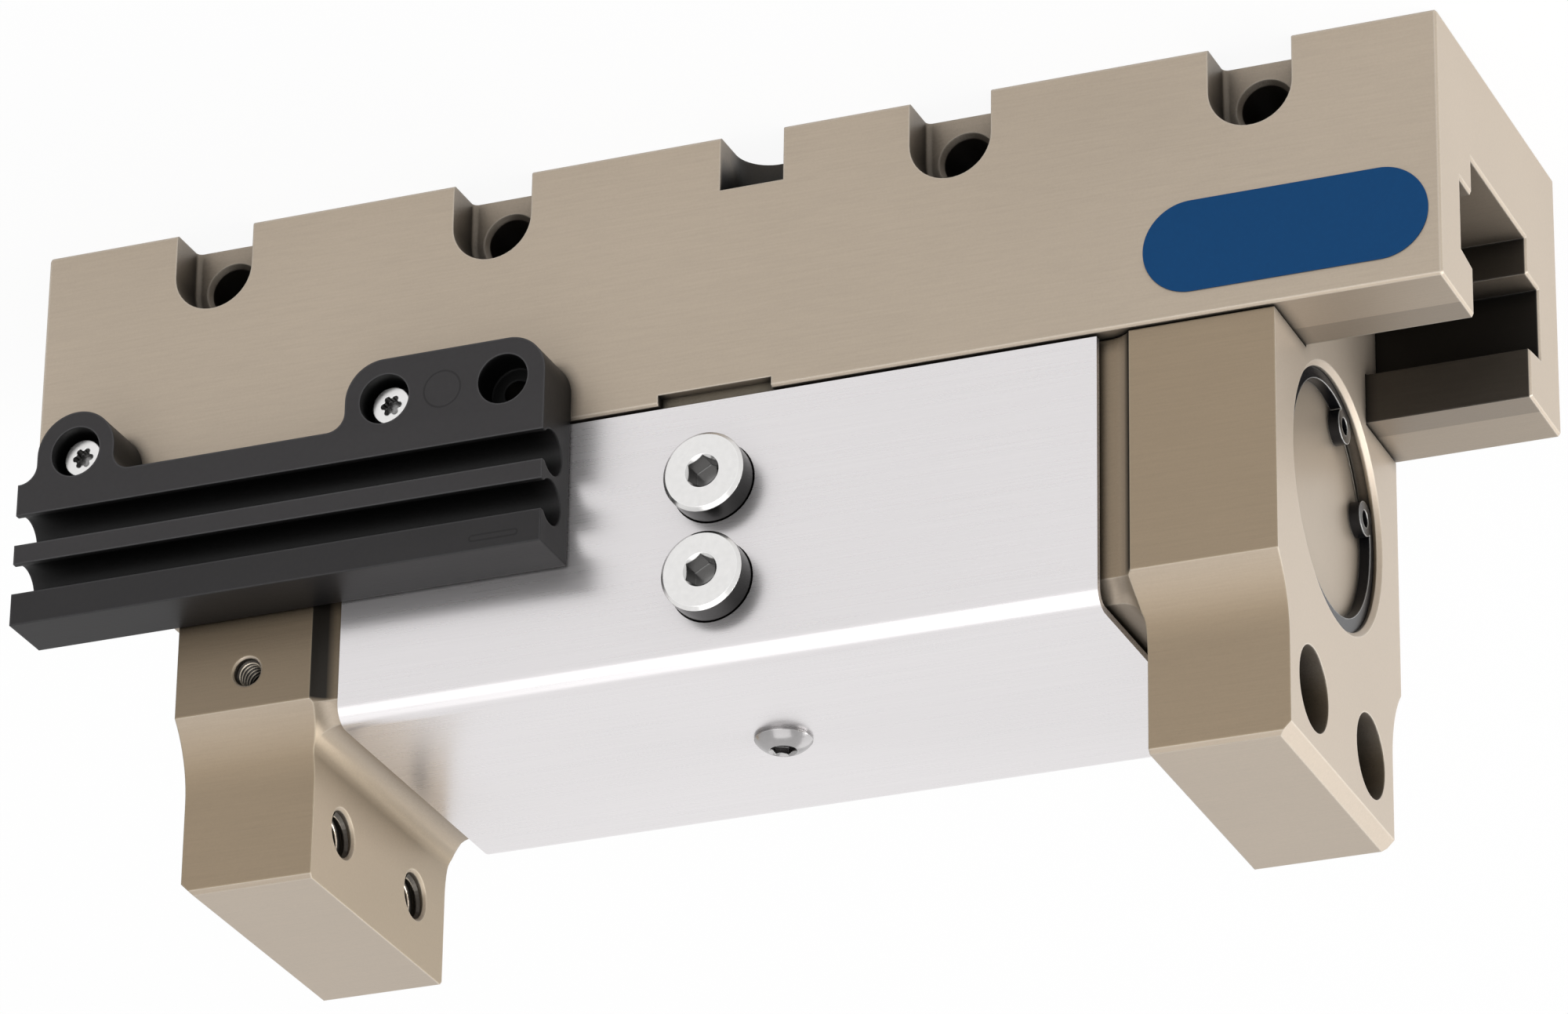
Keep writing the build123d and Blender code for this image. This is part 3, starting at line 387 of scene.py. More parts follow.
    def off_middle(self, axis, value):
        """How far the surface lies from two planes, each that far from the middle."""
        return self.math("SUBTRACT", self.size_of(self.along(axis)), value)

    def done(self, colour_out, roughness=None):
        """The finished material."""
        self.feed(self.shader.inputs["Base Color"], colour_out)
        if roughness is not None:
            self.feed(self.shader.inputs["Roughness"], roughness)
        if self.relief is not None:
            self.feed(self.shader.inputs["Normal"], self.relief)
        return self.material


def rgba(values):
    """The colour with full cover."""
    return (*values, 1.0)


def dress(names, material):
    """Gives the material to every slot of the named CAD nodes."""
    for name in names:
        for slot in nodes[name].material_slots:
            slot.material = material


def both(name):
    """Names of a piece's two nodes, one at each jaw."""
    return [f"{name}_{side}" for side in SIDES]


def rail_painted_shade(finish, tone):
    """Painted shade: the rail's slot is darker inside, most of all on its upright walls, and its
    lips are darker on their undersides and along their gaps.
    """
    width = finish.size_of(finish.along("Y"))
    height = finish.along("Z")
    inside = finish.all_of(
        finish.falls(width, *around(SLOT_HALF_WIDTH)),
        finish.rises(height, *around(CHANNEL_CEILING)),
        finish.falls(finish.size_of(finish.along("X")), *around(SLOT_END, 0.05 * MM)),
    )
    upright = finish.all_of(inside, finish.size_of(finish.facing("Y")))
    wide = finish.all_of(upright, finish.rises(width, *around(SLOT_NECK, 0.25 * MM)))
    lips = finish.rises(height, *around(LIPS_START, 0.5 * MM))
    under = finish.all_of(finish.rises(finish.facing("Z"), 0.90, 0.95), lips)
    gap_shade = finish.all_of(finish.falls(finish.openness(1.2 * MM, False), 0.45, 0.90), lips)
    # Painted shade in the slot, under the lips and in the gaps beside other pieces
    tone = finish.shade(tone, 1.0, 0.72, inside)
    tone = finish.shade(tone, 1.0, 0.20, upright)
    tone = finish.shade(tone, 1.0, 0.30, wide)
    tone = finish.shade(tone, 1.0, 0.75, under)
    tone = finish.shade(tone, 1.0, 0.08, gap_shade)
    return pocket_painted_shade(finish, tone)


def pocket_painted_shade(finish, tone):
    """Painted shade: the rail's middle pocket is dark at its back and towards its floor."""
    width = finish.size_of(finish.along("Y"))
    height = finish.along("Z")
    aside = finish.size_of(finish.math("SUBTRACT", finish.along("X"), POCKET_X))
    deep = finish.math(
        "MAXIMUM",
        finish.rises(height, *around(2.4 * MM, 1.0 * MM)),
        finish.falls(width, *around(13.0 * MM, 1.0 * MM)),
    )
    pocket = finish.all_of(
        deep,
        finish.falls(aside, *around(POCKET_HALF_WIDTH)),
        finish.falls(width, *around(POCKET_FRONT, 0.2 * MM)),
        finish.rises(width, *around(POCKET_BACK, 0.05 * MM)),
        finish.falls(height, *around(POCKET_FLOOR)),
    )
    return finish.shade(tone, 1.0, 0.14, pocket)


def jaw_painted_shade(finish, tone):
    """Painted shade: the hollows beside the barrels, the fronts and backs, the finger faces and the
    right jaw's front beside the bracket are darker.
    """
    across = finish.along("X")
    below_fingers = finish.falls(finish.along("Z"), *around(BARREL_END, 0.2 * MM))
    # Painted shade in the hollows beside the barrels
    hollow_shade = finish.all_of(
        finish.math(
            "MAXIMUM",
            finish.rises(across, *around(RIGHT_HOLLOW, 0.4 * MM)),
            finish.falls(across, *around(LEFT_HOLLOW, 0.25 * MM)),
        ),
        finish.falls(finish.size_of(across), *around(FINGER_BLOCK_START, 0.02 * MM)),
        finish.rises(finish.size_of(finish.along("Y")), *around(BARREL_SIDE, 0.075 * MM)),
        below_fingers,
    )
    tone = finish.shade(tone, 1.0, 0.06, hollow_shade)
    # Painted shade: faces towards the front and back are darker and browner than the ends
    front_back_shade = finish.rises(finish.size_of(finish.facing("Y")), 0.62, 0.97)
    tone = finish.tint(tone, FRONT_BACK_SHADE_TINT, front_back_shade)
    # Painted shadow of the bracket on the right jaw's front
    bracket_shadow = finish.all_of(
        front_back_shade,
        finish.falls(finish.facing("Y"), -0.97, -0.62),
        finish.rises(across, *around(BRACKET_SHADOW_START, 2.0 * MM)),
        below_fingers,
    )
    tone = finish.shade(tone, 1.0, 0.76, bracket_shadow)
    # Painted shade: the finger faces that face the middle are darker and browner
    finger_face_shade = finish.falls(finish.all_of(finish.facing("X"), across), -33.0 * MM, -12.0 * MM)
    return finish.tint(tone, FINGER_FACE_SHADE_TINT, finger_face_shade)


def anodised_finish(
    name, base, edge, metallic, brush_scale, depth, closed=0.36, alone=False, painted_shade=None
):
    """Hard anodised aluminium: satin, with fine marks of the cutter along one way, a painted
    highlight on its edges and painted shade in slots, holes and corners.
    """
    finish = Finish(name, base, metallic, 0.42)
    brush = finish.grain(brush_scale, detail=3.0, roughness=0.62)
    cloud = finish.grain((38.0, 38.0, 38.0), detail=1.0)
    speck = finish.grain((5200.0, 5200.0, 5200.0), detail=1.0)
    tone = finish.shade(rgba(base), 0.91, 1.09, brush)
    tone = finish.shade(tone, 0.94, 1.06, cloud)
    tone = finish.shade(tone, 0.96, 1.04, speck)
    # Painted highlight on the edges
    edge_highlight = finish.edges(0.22 * MM, 0.55)
    tone = finish.blend(edge_highlight, tone, rgba(edge))
    # Painted shade deep in slots and holes, and close up in corners and gaps
    tone = finish.crevice_shade(tone, 14.0 * MM, depth, closed, closed + 0.40)
    tone = finish.crevice_shade(tone, 1.6 * MM, 0.10, 0.45, 0.85, alone)
    # Painted shade that depends on the part's place and facing
    if painted_shade:
        tone = painted_shade(finish, tone)
    finish.bump(brush, 0.012 * MM, 0.5)
    finish.bump(speck, 0.006 * MM, 0.5)
    return finish.done(tone, finish.spread(brush, 0.36, 0.48))


class GRIPPER_OT_smooth_solids(bpy.types.Operator):
    """Shade the round faces of the CAD solids smooth and keep their corners sharp"""

    bl_idname = "gripper.smooth_solids"
    bl_label = "Smooth the solids"

    def execute(self, context):
        for solid in nodes.values():
            weld = solid.modifiers.new("weld", "WELD")
            weld.merge_threshold = 0.001 * MM
            split = solid.modifiers.new("corners", "EDGE_SPLIT")
            split.split_angle = radians(28.0)
            for face in solid.data.polygons:
                face.use_smooth = True
        return {"FINISHED"}


class GRIPPER_OT_finish_rail(bpy.types.Operator):
    """Finish the rail, the jaws and the centre block as hard anodised aluminium"""

    bl_idname = "gripper.finish_rail"
    bl_label = "Rail, jaws and block"

    def execute(self, context):
        colours = context.scene.gripper_colours
        rail = anodised_finish(
            "rail_anodised",
            colours.anodised,
            colours.anodised_edge_highlight,
            metallic=0.55,
            brush_scale=(220.0, 5200.0, 5200.0),
            depth=0.06,
            closed=0.43,
            alone=True,
            painted_shade=rail_painted_shade,
        )
        jaw = anodised_finish(
            "jaw_anodised",
            colours.jaw,
            colours.anodised_edge_highlight,
            metallic=0.52,
            brush_scale=(200.0, 6000.0, 6000.0),
            depth=0.17,
            painted_shade=jaw_painted_shade,
        )
        # The centre block takes a darker copy of the anodising: painted shade
        block = anodised_finish(
            "block_anodised",
            colours.distributor_in_shade,
            colours.anodised,
            metallic=0.50,
            brush_scale=(200.0, 5200.0, 5200.0),
            depth=0.10,
        )
        dress(["guide_rail"], rail)
        dress(["centre_block"], block)
        dress(both("base_jaw"), jaw)
        return {"FINISHED"}


class GRIPPER_OT_finish_caps(bpy.types.Operator):
    """Finish the end caps as turned aluminium"""

    bl_idname = "gripper.finish_caps"
    bl_label = "End caps"

    def execute(self, context):
        colours = context.scene.gripper_colours
        finish = Finish("cap_turned", colours.cap, 0.62, 0.38)
        cloud = finish.grain((60.0, 60.0, 60.0), detail=2.0)
        speck = finish.grain((4200.0, 4200.0, 4200.0), detail=1.0)
        tone = finish.shade(rgba(colours.cap), 0.90, 1.10, cloud)
        tone = finish.shade(tone, 0.97, 1.03, speck)
        # Painted shade in hollows and next to other pieces
        tone = finish.crevice_shade(tone, 4.5 * MM, 0.12, 0.35, 0.92, False)
        finish.bump(speck, 0.006 * MM, 0.4)
        dress(both("end_cap"), finish.done(tone))
        return {"FINISHED"}


class GRIPPER_OT_finish_cover(bpy.types.Operator):
    """Finish the bent cover as brushed stainless sheet"""

    bl_idname = "gripper.finish_cover"
    bl_label = "Cover"

    def execute(self, context):
        colours = context.scene.gripper_colours
        finish = Finish("cover_brushed", colours.sheet, 0.88, 0.30)
        finish.shader.inputs["Anisotropic"].default_value = 0.5
        brush = finish.grain((60.0, 5200.0, 5200.0), detail=3.0, roughness=0.6)
        cloud = finish.grain((30.0, 30.0, 30.0), detail=1.0)
        tone = finish.shade(rgba(colours.sheet), 0.95, 1.05, brush)
        tone = finish.shade(tone, 0.98, 1.02, cloud)
        finish.bump(brush, 0.003 * MM, 0.3)
        dress(["cover"], finish.done(tone, finish.spread(brush, 0.25, 0.31)))
        return {"FINISHED"}


class GRIPPER_OT_finish_bracket(bpy.types.Operator):
    """Finish the sensor bracket as matt black moulding"""

    bl_idname = "gripper.finish_bracket"
    bl_label = "Sensor bracket"

    def execute(self, context):
        colours = context.scene.gripper_colours
        finish = Finish("bracket_moulded", colours.plastic, 0.0, 0.42)
        finish.shader.inputs["Specular IOR Level"].default_value = 0.20
        grain = finish.grain((2600.0, 2600.0, 2600.0), detail=2.0)
        flow = finish.grain((40.0, 260.0, 260.0), detail=2.0)
        tone = finish.shade(rgba(colours.plastic), 0.85, 1.15, flow)
        tone = finish.shade(tone, 0.92, 1.08, grain)
        # Painted highlight on the edges
        edge_highlight = finish.edges(0.25 * MM, 0.6)
        tone = finish.blend(edge_highlight, tone, rgba(colours.plastic_edge_highlight))
        # Painted shade in grooves and holes and where the bracket lies close to other pieces
        tone = finish.crevice_shade(tone, 6.0 * MM, 0.02, 0.52, 0.95, False)
        # Painted shade: the end faces, the lower bar and the underside are made darker
        ends = finish.rises(finish.size_of(finish.facing("X")), 0.90, 0.98)
        low = finish.rises(finish.along("Z"), *around(LOWER_BAR_START, 1.0 * MM))
        under = finish.rises(finish.facing("Z"), 0.90, 0.98)
        tone = finish.shade(tone, 1.0, 0.40, ends)
        tone = finish.shade(tone, 1.0, 0.66, low)
        tone = finish.shade(tone, 1.0, 0.70, under)
        tone = self.moulding_marks(finish, tone)
        tone = self.hole_painted_shade(finish, tone)
        finish.bump(grain, 0.010 * MM, 0.6)
        dress(["sensor_bracket"], finish.done(tone, finish.spread(flow, 0.40, 0.52)))
        return {"FINISHED"}

    def moulding_marks(self, finish, tone):
        """Fine sunk rims of a round and a long mark on the bracket's front, drawn with a bump and
        made darker with painted shade.
        """
        front = finish.falls(finish.facing("Y"), -0.98, -0.90)
        for centre_x, centre_z, half_length, radius in MOULDING_MARKS:
            across = finish.size_of(finish.math("SUBTRACT", finish.along("X"), centre_x))
            across = finish.math("MAXIMUM", finish.math("SUBTRACT", across, half_length), 0.0)
            away = finish.reach(across, finish.math("SUBTRACT", finish.along("Z"), centre_z))
            offset = finish.size_of(finish.math("SUBTRACT", away, radius))
            rim = finish.all_of(finish.falls(offset, 0.05 * MM, 0.12 * MM), front)
            tone = finish.shade(tone, 1.0, 0.60, rim)
            finish.bump(rim, -0.02 * MM, 0.6)
        return tone

    def hole_painted_shade(self, finish, tone):
        """Painted shade: the bracket's free screw hole is dark inside."""
        away = finish.reach(
            finish.math("SUBTRACT", finish.along("X"), FREE_HOLE_X),
            finish.math("SUBTRACT", finish.along("Z"), HOLE_ROW_Z),
        )
        hole = finish.all_of(
            finish.falls(away, *around(FREE_HOLE_RADIUS)),
            finish.rises(finish.along("Y"), *around(FREE_HOLE_MOUTH, 0.3 * MM)),
        )
        return finish.shade(tone, 1.0, 0.15, hole)


class GRIPPER_OT_finish_fasteners(bpy.types.Operator):
    """Finish the plugs and screws as polished nickel"""

    bl_idname = "gripper.finish_fasteners"
    bl_label = "Plugs and screws"

    def execute(self, context):
        colours = context.scene.gripper_colours
        sunk = ["bracket_screws", "piston_rod", *both("magnet")]
        kinds = {
            "nickel_plugs": (colours.nickel, 0.58, 0.96, 0.28, False, ["port_plugs"]),
            # The cover screw's darker nickel is painted shade in place of its dark reflections
            "nickel_button": (colours.button, 0.30, 0.95, 0.35, False, ["cover_screw"]),
            "nickel_sunk": (colours.nickel, 0.50, 0.90, 0.15, True, sunk),
        }
        for name, (base, closed, clear, depth, alone, dressed) in kinds.items():
            finish = Finish(name, base, 1.0, 0.20)
            speck = finish.grain((1800.0, 1800.0, 1800.0), detail=2.0)
            tone = finish.shade(rgba(base), 0.94, 1.06, speck)
            # Painted highlight on the edges
            edge_highlight = finish.edges(0.12 * MM, 0.5)
            tone = finish.blend(edge_highlight, tone, rgba(colours.nickel_edge_highlight))
            # Painted shade in recesses and next to other pieces
            tone = finish.crevice_shade(tone, 4.0 * MM, depth, closed, clear, alone)
            if name == "nickel_plugs":
                tone = self.plug_side_shade(finish, tone)
            finish.bump(speck, 0.006 * MM, 0.3)
            dress(dressed, finish.done(tone, finish.spread(speck, 0.16, 0.26)))
        return {"FINISHED"}

    def plug_side_shade(self, finish, tone):
        """Painted shade: the plugs' round sides are made nearly black; their ground faces stay
        bright.
        """
        lower, upper = PORT_HEIGHTS
        height = finish.math("SUBTRACT", finish.along("Z"), (lower + upper) / 2)
        height = finish.math("SUBTRACT", finish.size_of(height), (upper - lower) / 2)
        away = finish.reach(finish.along("X"), height)
        outside = finish.rises(away, *around(2.0 * MM, 0.2 * MM))
        side = finish.falls(finish.size_of(finish.facing("Y")), 0.10, 0.75)
        return finish.shade(tone, 1.0, 0.05, finish.all_of(side, outside))


class GRIPPER_OT_finish_circlips(bpy.types.Operator):
    """Finish the circlips as black phosphated spring steel with a painted highlight on their edges
    """

    bl_idname = "gripper.finish_circlips"
    bl_label = "Circlips"

    def execute(self, context):
        colours = context.scene.gripper_colours
        finish = Finish("circlip_phosphated", colours.circlip, 0.5, 0.26)
        grain = finish.grain((1500.0, 1500.0, 1500.0), detail=3.0)
        tone = finish.shade(rgba(colours.circlip), 0.7, 1.4, grain)
        # Painted highlight on the edges
        edge_highlight = finish.edges(0.16 * MM, 0.8, 0.85, 0.99)
        tone = finish.blend(edge_highlight, tone, rgba(colours.circlip_edge_highlight))
        finish.bump(grain, 0.008 * MM, 0.4)
        dress(both("circlip"), finish.done(tone))
        return {"FINISHED"}


class GRIPPER_OT_finish_inner_parts(bpy.types.Operator):
    """Finish the pieces inside: steel, bright aluminium, rubber and bronze"""

    bl_idname = "gripper.finish_inner_parts"
    bl_label = "Pieces inside"

    def execute(self, context):
        colours = context.scene.gripper_colours
        steel = ["clamping_nut", "block_screws", "pinion_pin", "pinion", "rod_set_screw", "rod_nuts"]
        steel += both("rack") + both("rack_screws")
        seals = ["plug_seals", *both("piston_seal"), *both("cap_seal"), *both("rod_seal")]
        kinds = {
            "steel_machined": (colours.steel, 0.9, 0.34, steel),
            "block_machined": (colours.piston, 0.7, 0.40, both("piston")),
            "seal_rubber": (colours.rubber, 0.0, 0.60, seals),
            "bush_bronze": (colours.bronze, 0.8, 0.45, both("rod_bush")),
        }
        for name, (base, metallic, roughness, dressed) in kinds.items():
            finish = Finish(name, base, metallic, roughness)
            grain = finish.grain((1400.0, 1400.0, 1400.0), detail=3.0)
            tone = finish.shade(rgba(base), 0.85, 1.15, grain)
            # Painted shade in recesses and corners
            tone = finish.crevice_shade(tone, 3.0 * MM, 0.15)
            finish.bump(grain, 0.008 * MM, 0.5)
            dress(dressed, finish.done(tone))
        return {"FINISHED"}


# New pieces


def thread_finish(name, base, edge, axis, middle, height, crest):
    """Cut threads with painted shade in their depth and a painted highlight on their crests."""
    finish = Finish(name, base, 0.6, 0.28)
    speck = finish.grain((3000.0, 3000.0, 3000.0), detail=2.0)
    away = finish.reach(
        finish.off_middle(axis, middle), finish.math("SUBTRACT", finish.along("Z"), height)
    )
    # Painted highlight on the crests; the rest keeps the dark thread colour, a painted shade
    bright = finish.falls(away, crest + 0.02 * MM, crest + 0.10 * MM)
    tone = finish.blend(bright, rgba(base), rgba(edge))
    tone = finish.shade(tone, 0.85, 1.15, speck)
    # Painted shade deep in the hole
    tone = finish.crevice_shade(tone, 2.5 * MM, 0.10, 0.10, 0.70, False)
    finish.bump(speck, 0.005 * MM, 0.4)
    return finish.done(tone)


def add_mesh(name, mesh_maker, body, material):
    """Links a mesh made by bmesh code and lets it ride on a body."""
    mesh = bpy.data.meshes.new(name)
    shape = bmesh.new()
    mesh_maker(shape)
    bmesh.ops.recalc_face_normals(shape, faces=shape.faces)
    shape.to_mesh(mesh)
    shape.free()
    piece = bpy.data.objects.new(name, mesh)
    bpy.context.scene.collection.objects.link(piece)
    mesh.materials.append(material)
    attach(piece, body)
    return piece


def skin(shape, rings):
    """Faces between each ring of corners and the next."""
    for first, second in zip(rings, rings[1:]):
        for corner in range(len(first)):
            following = (corner + 1) % len(first)
            shape.faces.new((first[corner], first[following], second[following], second[corner]))


def ridge_maker(mouth, outward, wall_radius, height, pitch, depth, steps):
    """Mesh code for one helical ridge that lines a tapped hole."""
    outward = Vector(outward)
    side = outward.orthogonal().normalized()
    other = outward.cross(side)
    count = int(steps * depth / pitch)
    root = wall_radius + RIDGE_SINK

    def make(shape):
        rings = []
        for step in range(count + 1):
            angle = 2 * pi * step / steps
            along = depth * step / count
            fade = min(1.0, step / steps, (count - step) / steps)
            spoke = side * cos(angle) + other * sin(angle)
            centre = Vector(mouth) - outward * along
            crest = wall_radius - height * max(fade, 0.02)
            rings.append(
                [
                    shape.verts.new(centre + spoke * root + outward * RIDGE_FOOT * pitch),
                    shape.verts.new(centre + spoke * crest + outward * RIDGE_CREST * pitch),
                    shape.verts.new(centre + spoke * crest - outward * RIDGE_CREST * pitch),
                    shape.verts.new(centre + spoke * root - outward * RIDGE_FOOT * pitch),
                ]
            )
        skin(shape, rings)
        shape.faces.new(rings[0])
        shape.faces.new(rings[-1][::-1])

    return make


class GRIPPER_OT_add_finger_threads(bpy.types.Operator):
    """Line the jaws' four finger holes with their threads"""

    bl_idname = "gripper.add_finger_threads"
    bl_label = "Finger threads"

    def execute(self, context):
        threads = context.scene.gripper_threads
        colours = context.scene.gripper_colours
        crest = FINGER_THREAD_RADIUS - threads.finger_height
        material = thread_finish(
            "finger_thread_cut",
            colours.thread,
            colours.thread_crest_highlight,
            "Y",
            FINGER_THREAD_Y,
            FINGER_THREAD_Z,
            crest,
        )
        for side, sign in SIDES.items():
            for number, y in enumerate((-FINGER_THREAD_Y, FINGER_THREAD_Y)):
                maker = ridge_maker(
                    (sign * FINGER_THREAD_MOUTH, y, FINGER_THREAD_Z),
                    (-sign, 0.0, 0.0),
                    FINGER_THREAD_RADIUS,
                    threads.finger_height,
                    threads.finger_pitch,
                    FINGER_THREAD_DEPTH,
                    threads.steps,
                )
                name = f"finger_thread_{side}_{number}"
                add_mesh(name, maker, f"{side}_jaw", material)
        return {"FINISHED"}


class GRIPPER_OT_add_side_threads(bpy.types.Operator):
    """Line the small tapped hole in the side of each jaw"""

    bl_idname = "gripper.add_side_threads"
    bl_label = "Side threads"

    def execute(self, context):
        threads = context.scene.gripper_threads
        colours = context.scene.gripper_colours
        crest = SIDE_THREAD_RADIUS - threads.side_height
        material = thread_finish(
            "side_thread_cut",
            colours.thread,
            colours.thread_crest_highlight,
            "X",
            SIDE_THREAD_X,
            SIDE_THREAD_Z,
            crest,
        )
        for side, sign in SIDES.items():
            maker = ridge_maker(
                (sign * SIDE_THREAD_X, -sign * SIDE_THREAD_MOUTH, SIDE_THREAD_Z),
                (0.0, -sign, 0.0),
                SIDE_THREAD_RADIUS,
                threads.side_height,
                threads.side_pitch,
                SIDE_THREAD_DEPTH,
                threads.steps,
            )
            add_mesh(f"side_thread_{side}", maker, f"{side}_jaw", material)
        return {"FINISHED"}


class GRIPPER_OT_add_port_threads(bpy.types.Operator):
    """Line the two open air ports at the back"""

    bl_idname = "gripper.add_port_threads"
    bl_label = "Port threads"

    def execute(self, context):
        threads = context.scene.gripper_threads
        material = nodes["centre_block"].material_slots[0].material
        for number, z in enumerate(PORT_HEIGHTS):
            maker = ridge_maker(
                (0.0, PORT_MOUTH, z),
                (0.0, 1.0, 0.0),
                PORT_RADIUS,
                threads.port_height,
                threads.port_pitch,
                PORT_DEPTH,
                threads.steps,
            )
            add_mesh(f"port_thread_{number}", maker, "housing", material)
        return {"FINISHED"}


class GRIPPER_OT_add_label(bpy.types.Operator):
    """Put the bare blue label on the rail's front"""

    bl_idname = "gripper.add_label"
    bl_label = "Label"

    def execute(self, context):
        label = context.scene.gripper_label
        colours = context.scene.gripper_colours
        finish = Finish("label_print", colours.label, 0.0, 0.40)
        finish.shader.inputs["Specular IOR Level"].default_value = 0.12
        speck = finish.grain((3000.0, 3000.0, 3000.0), detail=1.0)
        tone = finish.shade(rgba(colours.label), 0.94, 1.06, speck)
        finish.bump(speck, 0.003 * MM, 0.3)
        material = finish.done(tone)
        radius = (label.high_z - label.low_z) / 2
        middle_z = (label.high_z + label.low_z) / 2
        ends = ((label.high_x - radius, -pi / 2), (label.low_x + radius, pi / 2))
        face_y = rail_low.y
        steps = 48

        def outline(inset, y):
            """The label's outline, two half circles, drawn in by the inset."""
            points = []
            for centre_x, start in ends:
                for step in range(steps):
                    angle = start + pi * step / (steps - 1)
                    across = (radius - inset) * cos(angle)
                    upward = (radius - inset) * sin(angle)
                    points.append(Vector((centre_x + across, y, middle_z + upward)))
            return points

        def make(shape):
            levels = (
                outline(0.0, face_y + label.border),
                outline(0.0, face_y - label.thickness + label.border / 2),
                outline(label.border, face_y - label.thickness),
            )
            rings = [[shape.verts.new(point) for point in level] for level in levels]
            skin(shape, rings)
            shape.faces.new(rings[-1])
            shape.faces.new(rings[0][::-1])

        add_mesh("label_plate", make, "housing", material)
        return {"FINISHED"}


class GRIPPER_OT_set_stage(bpy.types.Operator):
    """Set up the pale floor, the soft lamps and the camera"""

    bl_idname = "gripper.set_stage"
    bl_label = "Stage"

    def execute(self, context):
        stage = context.scene.gripper_stage
        scene = context.scene
        scene.view_settings.view_transform = "Standard"
        self.make_floor(stage)
        self.make_world(scene, stage)
        for name, (place, size) in LAMPS.items():
            self.make_lamp(f"{name}_lamp", place, size, getattr(stage, name))
        self.make_camera(scene, stage)
        return {"FINISHED"}

    def make_camera(self, scene, stage):
        """The camera that sees the gripper as the photo does."""
        camera = bpy.data.cameras.new("photo_camera")
        camera.lens = stage.lens
        camera.sensor_width = 36.0
        camera.clip_start = 0.01
        camera.clip_end = 50.0
        holder = bpy.data.objects.new("photo_camera", camera)
        scene.collection.objects.link(holder)
        turn = Euler(stage.camera_turn)
        holder.matrix_world = Matrix.LocRotScale(Vector(stage.camera_place), turn, None)
        scene.camera = holder

    def make_floor(self, stage):
        """A pale floor that shows nearly white to the camera and in reflections."""
        half = stage.floor_size / 2
        mesh = bpy.data.meshes.new("floor")
        mesh.from_pydata(
            [(-half, -half, 0.0), (half, -half, 0.0), (half, half, 0.0), (-half, half, 0.0)],
            [],
            [(0, 1, 2, 3)],
        )
        floor = bpy.data.objects.new("floor", mesh)
        bpy.context.scene.collection.objects.link(floor)
        material = bpy.data.materials.new("floor_pale")
        material.use_nodes = True
        tree = material.node_tree
        shader = tree.nodes["Principled BSDF"]
        shader.inputs["Base Color"].default_value = rgba(stage.floor)
        shader.inputs["Roughness"].default_value = 0.9
        glow = tree.nodes.new("ShaderNodeEmission")
        glow.inputs["Color"].default_value = (1.0, 1.0, 1.0, 1.0)
        mix = tree.nodes.new("ShaderNodeMixShader")
        path = tree.nodes.new("ShaderNodeLightPath")
        seen = tree.nodes.new("ShaderNodeMath")
        seen.operation = "MAXIMUM"
        tree.links.new(path.outputs["Is Camera Ray"], seen.inputs[0])
        tree.links.new(path.outputs["Is Glossy Ray"], seen.inputs[1])
        share = tree.nodes.new("ShaderNodeMath")
        share.operation = "MULTIPLY"
        share.inputs[1].default_value = FLOOR_GLOW_SHARE
        tree.links.new(seen.outputs["Value"], share.inputs[0])
        tree.links.new(share.outputs["Value"], mix.inputs["Fac"])
        tree.links.new(shader.outputs["BSDF"], mix.inputs[1])
        tree.links.new(glow.outputs["Emission"], mix.inputs[2])
        tree.links.new(mix.outputs["Shader"], tree.nodes["Material Output"].inputs["Surface"])
        mesh.materials.append(material)

    def make_world(self, scene, stage):
        """A white room that lights the object with less than it shows."""
        world = bpy.data.worlds.new("room")
        world.use_nodes = True
        tree = world.node_tree
        background = tree.nodes["Background"]
        background.inputs["Color"].default_value = (1.0, 1.0, 1.0, 1.0)
        path = tree.nodes.new("ShaderNodeLightPath")
        seen = tree.nodes.new("ShaderNodeMath")
        seen.operation = "MAXIMUM"
        tree.links.new(path.outputs["Is Camera Ray"], seen.inputs[0])
        tree.links.new(path.outputs["Is Transmission Ray"], seen.inputs[1])
        strength = tree.nodes.new("ShaderNodeMapRange")
        strength.inputs["To Min"].default_value = stage.room
        strength.inputs["To Max"].default_value = 1.0
        shown = tree.nodes.new("ShaderNodeMath")
        shown.operation = "MAXIMUM"
        tree.links.new(seen.outputs["Value"], shown.inputs[0])
        tree.links.new(path.outputs["Is Glossy Ray"], shown.inputs[1])
        tree.links.new(shown.outputs["Value"], strength.inputs["Value"])
        tree.links.new(strength.outputs["Result"], background.inputs["Strength"])
        scene.world = world

    def make_lamp(self, name, place, size, power):
        """A soft square lamp that faces the gripper."""
        light = bpy.data.lights.new(name, "AREA")
        light.shape = "SQUARE"
        light.size = size
        light.energy = power
        lamp = bpy.data.objects.new(name, light)
        bpy.context.scene.collection.objects.link(lamp)
        lamp.location = place
        lamp.rotation_euler = (LAMP_TARGET - Vector(place)).to_track_quat("-Z", "Y").to_euler()


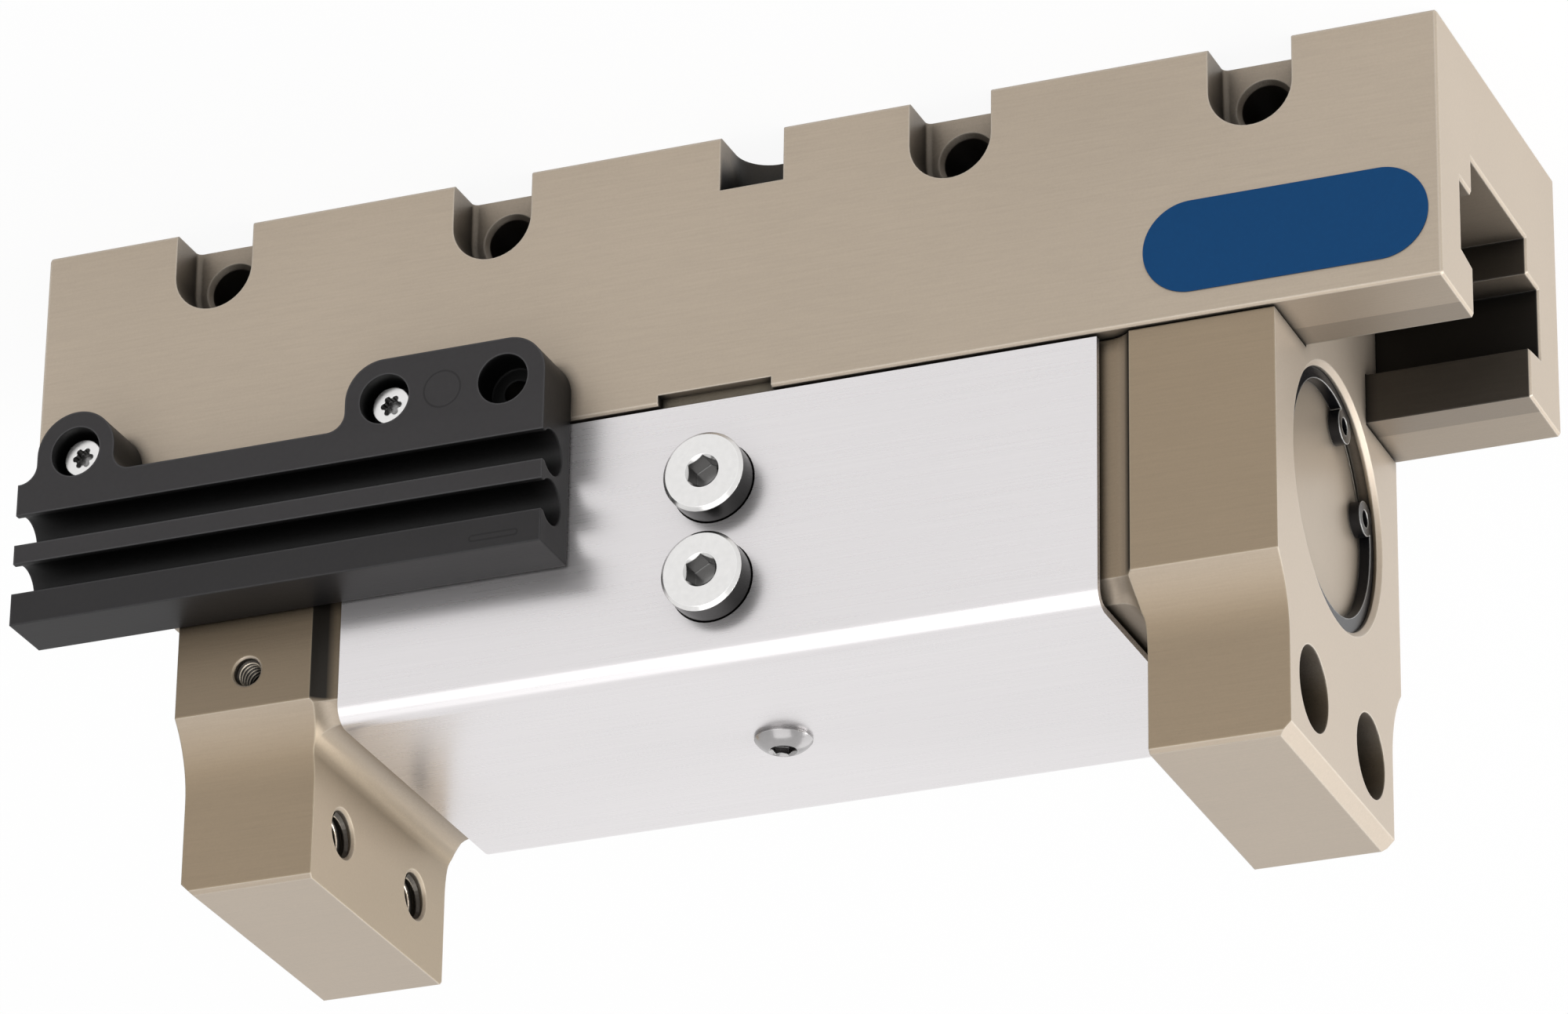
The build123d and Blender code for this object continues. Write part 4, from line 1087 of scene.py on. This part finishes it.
OPERATORS = (
    GRIPPER_OT_smooth_solids,
    GRIPPER_OT_finish_rail,
    GRIPPER_OT_finish_caps,
    GRIPPER_OT_finish_cover,
    GRIPPER_OT_finish_bracket,
    GRIPPER_OT_finish_fasteners,
    GRIPPER_OT_finish_circlips,
    GRIPPER_OT_finish_inner_parts,
    GRIPPER_OT_add_finger_threads,
    GRIPPER_OT_add_side_threads,
    GRIPPER_OT_add_port_threads,
    GRIPPER_OT_add_label,
    GRIPPER_OT_set_stage,
)
SETTINGS = {
    "gripper_colours": GripperColours,
    "gripper_threads": GripperThreads,
    "gripper_label": GripperLabel,
    "gripper_stage": GripperStage,
}


class GRIPPER_PT_panel(bpy.types.Panel):
    """Steps that dress the gripper, and their settings."""

    bl_idname = "GRIPPER_PT_panel"
    bl_label = "Small parts gripper"
    bl_space_type = "VIEW_3D"
    bl_region_type = "UI"
    bl_category = "Gripper"

    def draw(self, context):
        for operator in OPERATORS:
            self.layout.operator(operator.bl_idname)
        for name, group in SETTINGS.items():
            box = self.layout.box()
            box.label(text=group.__doc__)
            for setting in group.__annotations__:
                box.prop(getattr(context.scene, name), setting)


def register():
    for group in SETTINGS.values():
        bpy.utils.register_class(group)
    for operator in OPERATORS:
        bpy.utils.register_class(operator)
    bpy.utils.register_class(GRIPPER_PT_panel)
    for name, group in SETTINGS.items():
        setattr(bpy.types.Scene, name, PointerProperty(type=group))


def unregister():
    for name in SETTINGS:
        delattr(bpy.types.Scene, name)
    bpy.utils.unregister_class(GRIPPER_PT_panel)
    for operator in reversed(OPERATORS):
        bpy.utils.unregister_class(operator)
    for group in reversed(SETTINGS.values()):
        bpy.utils.unregister_class(group)


def main():
    register()
    bpy.ops.gripper.smooth_solids()
    bpy.ops.gripper.finish_rail()
    bpy.ops.gripper.finish_caps()
    bpy.ops.gripper.finish_cover()
    bpy.ops.gripper.finish_bracket()
    bpy.ops.gripper.finish_fasteners()
    bpy.ops.gripper.finish_circlips()
    bpy.ops.gripper.finish_inner_parts()
    bpy.ops.gripper.add_finger_threads()
    bpy.ops.gripper.add_side_threads()
    bpy.ops.gripper.add_port_threads()
    bpy.ops.gripper.add_label()
    bpy.ops.gripper.set_stage()


if __name__ == "__main__":
    main()
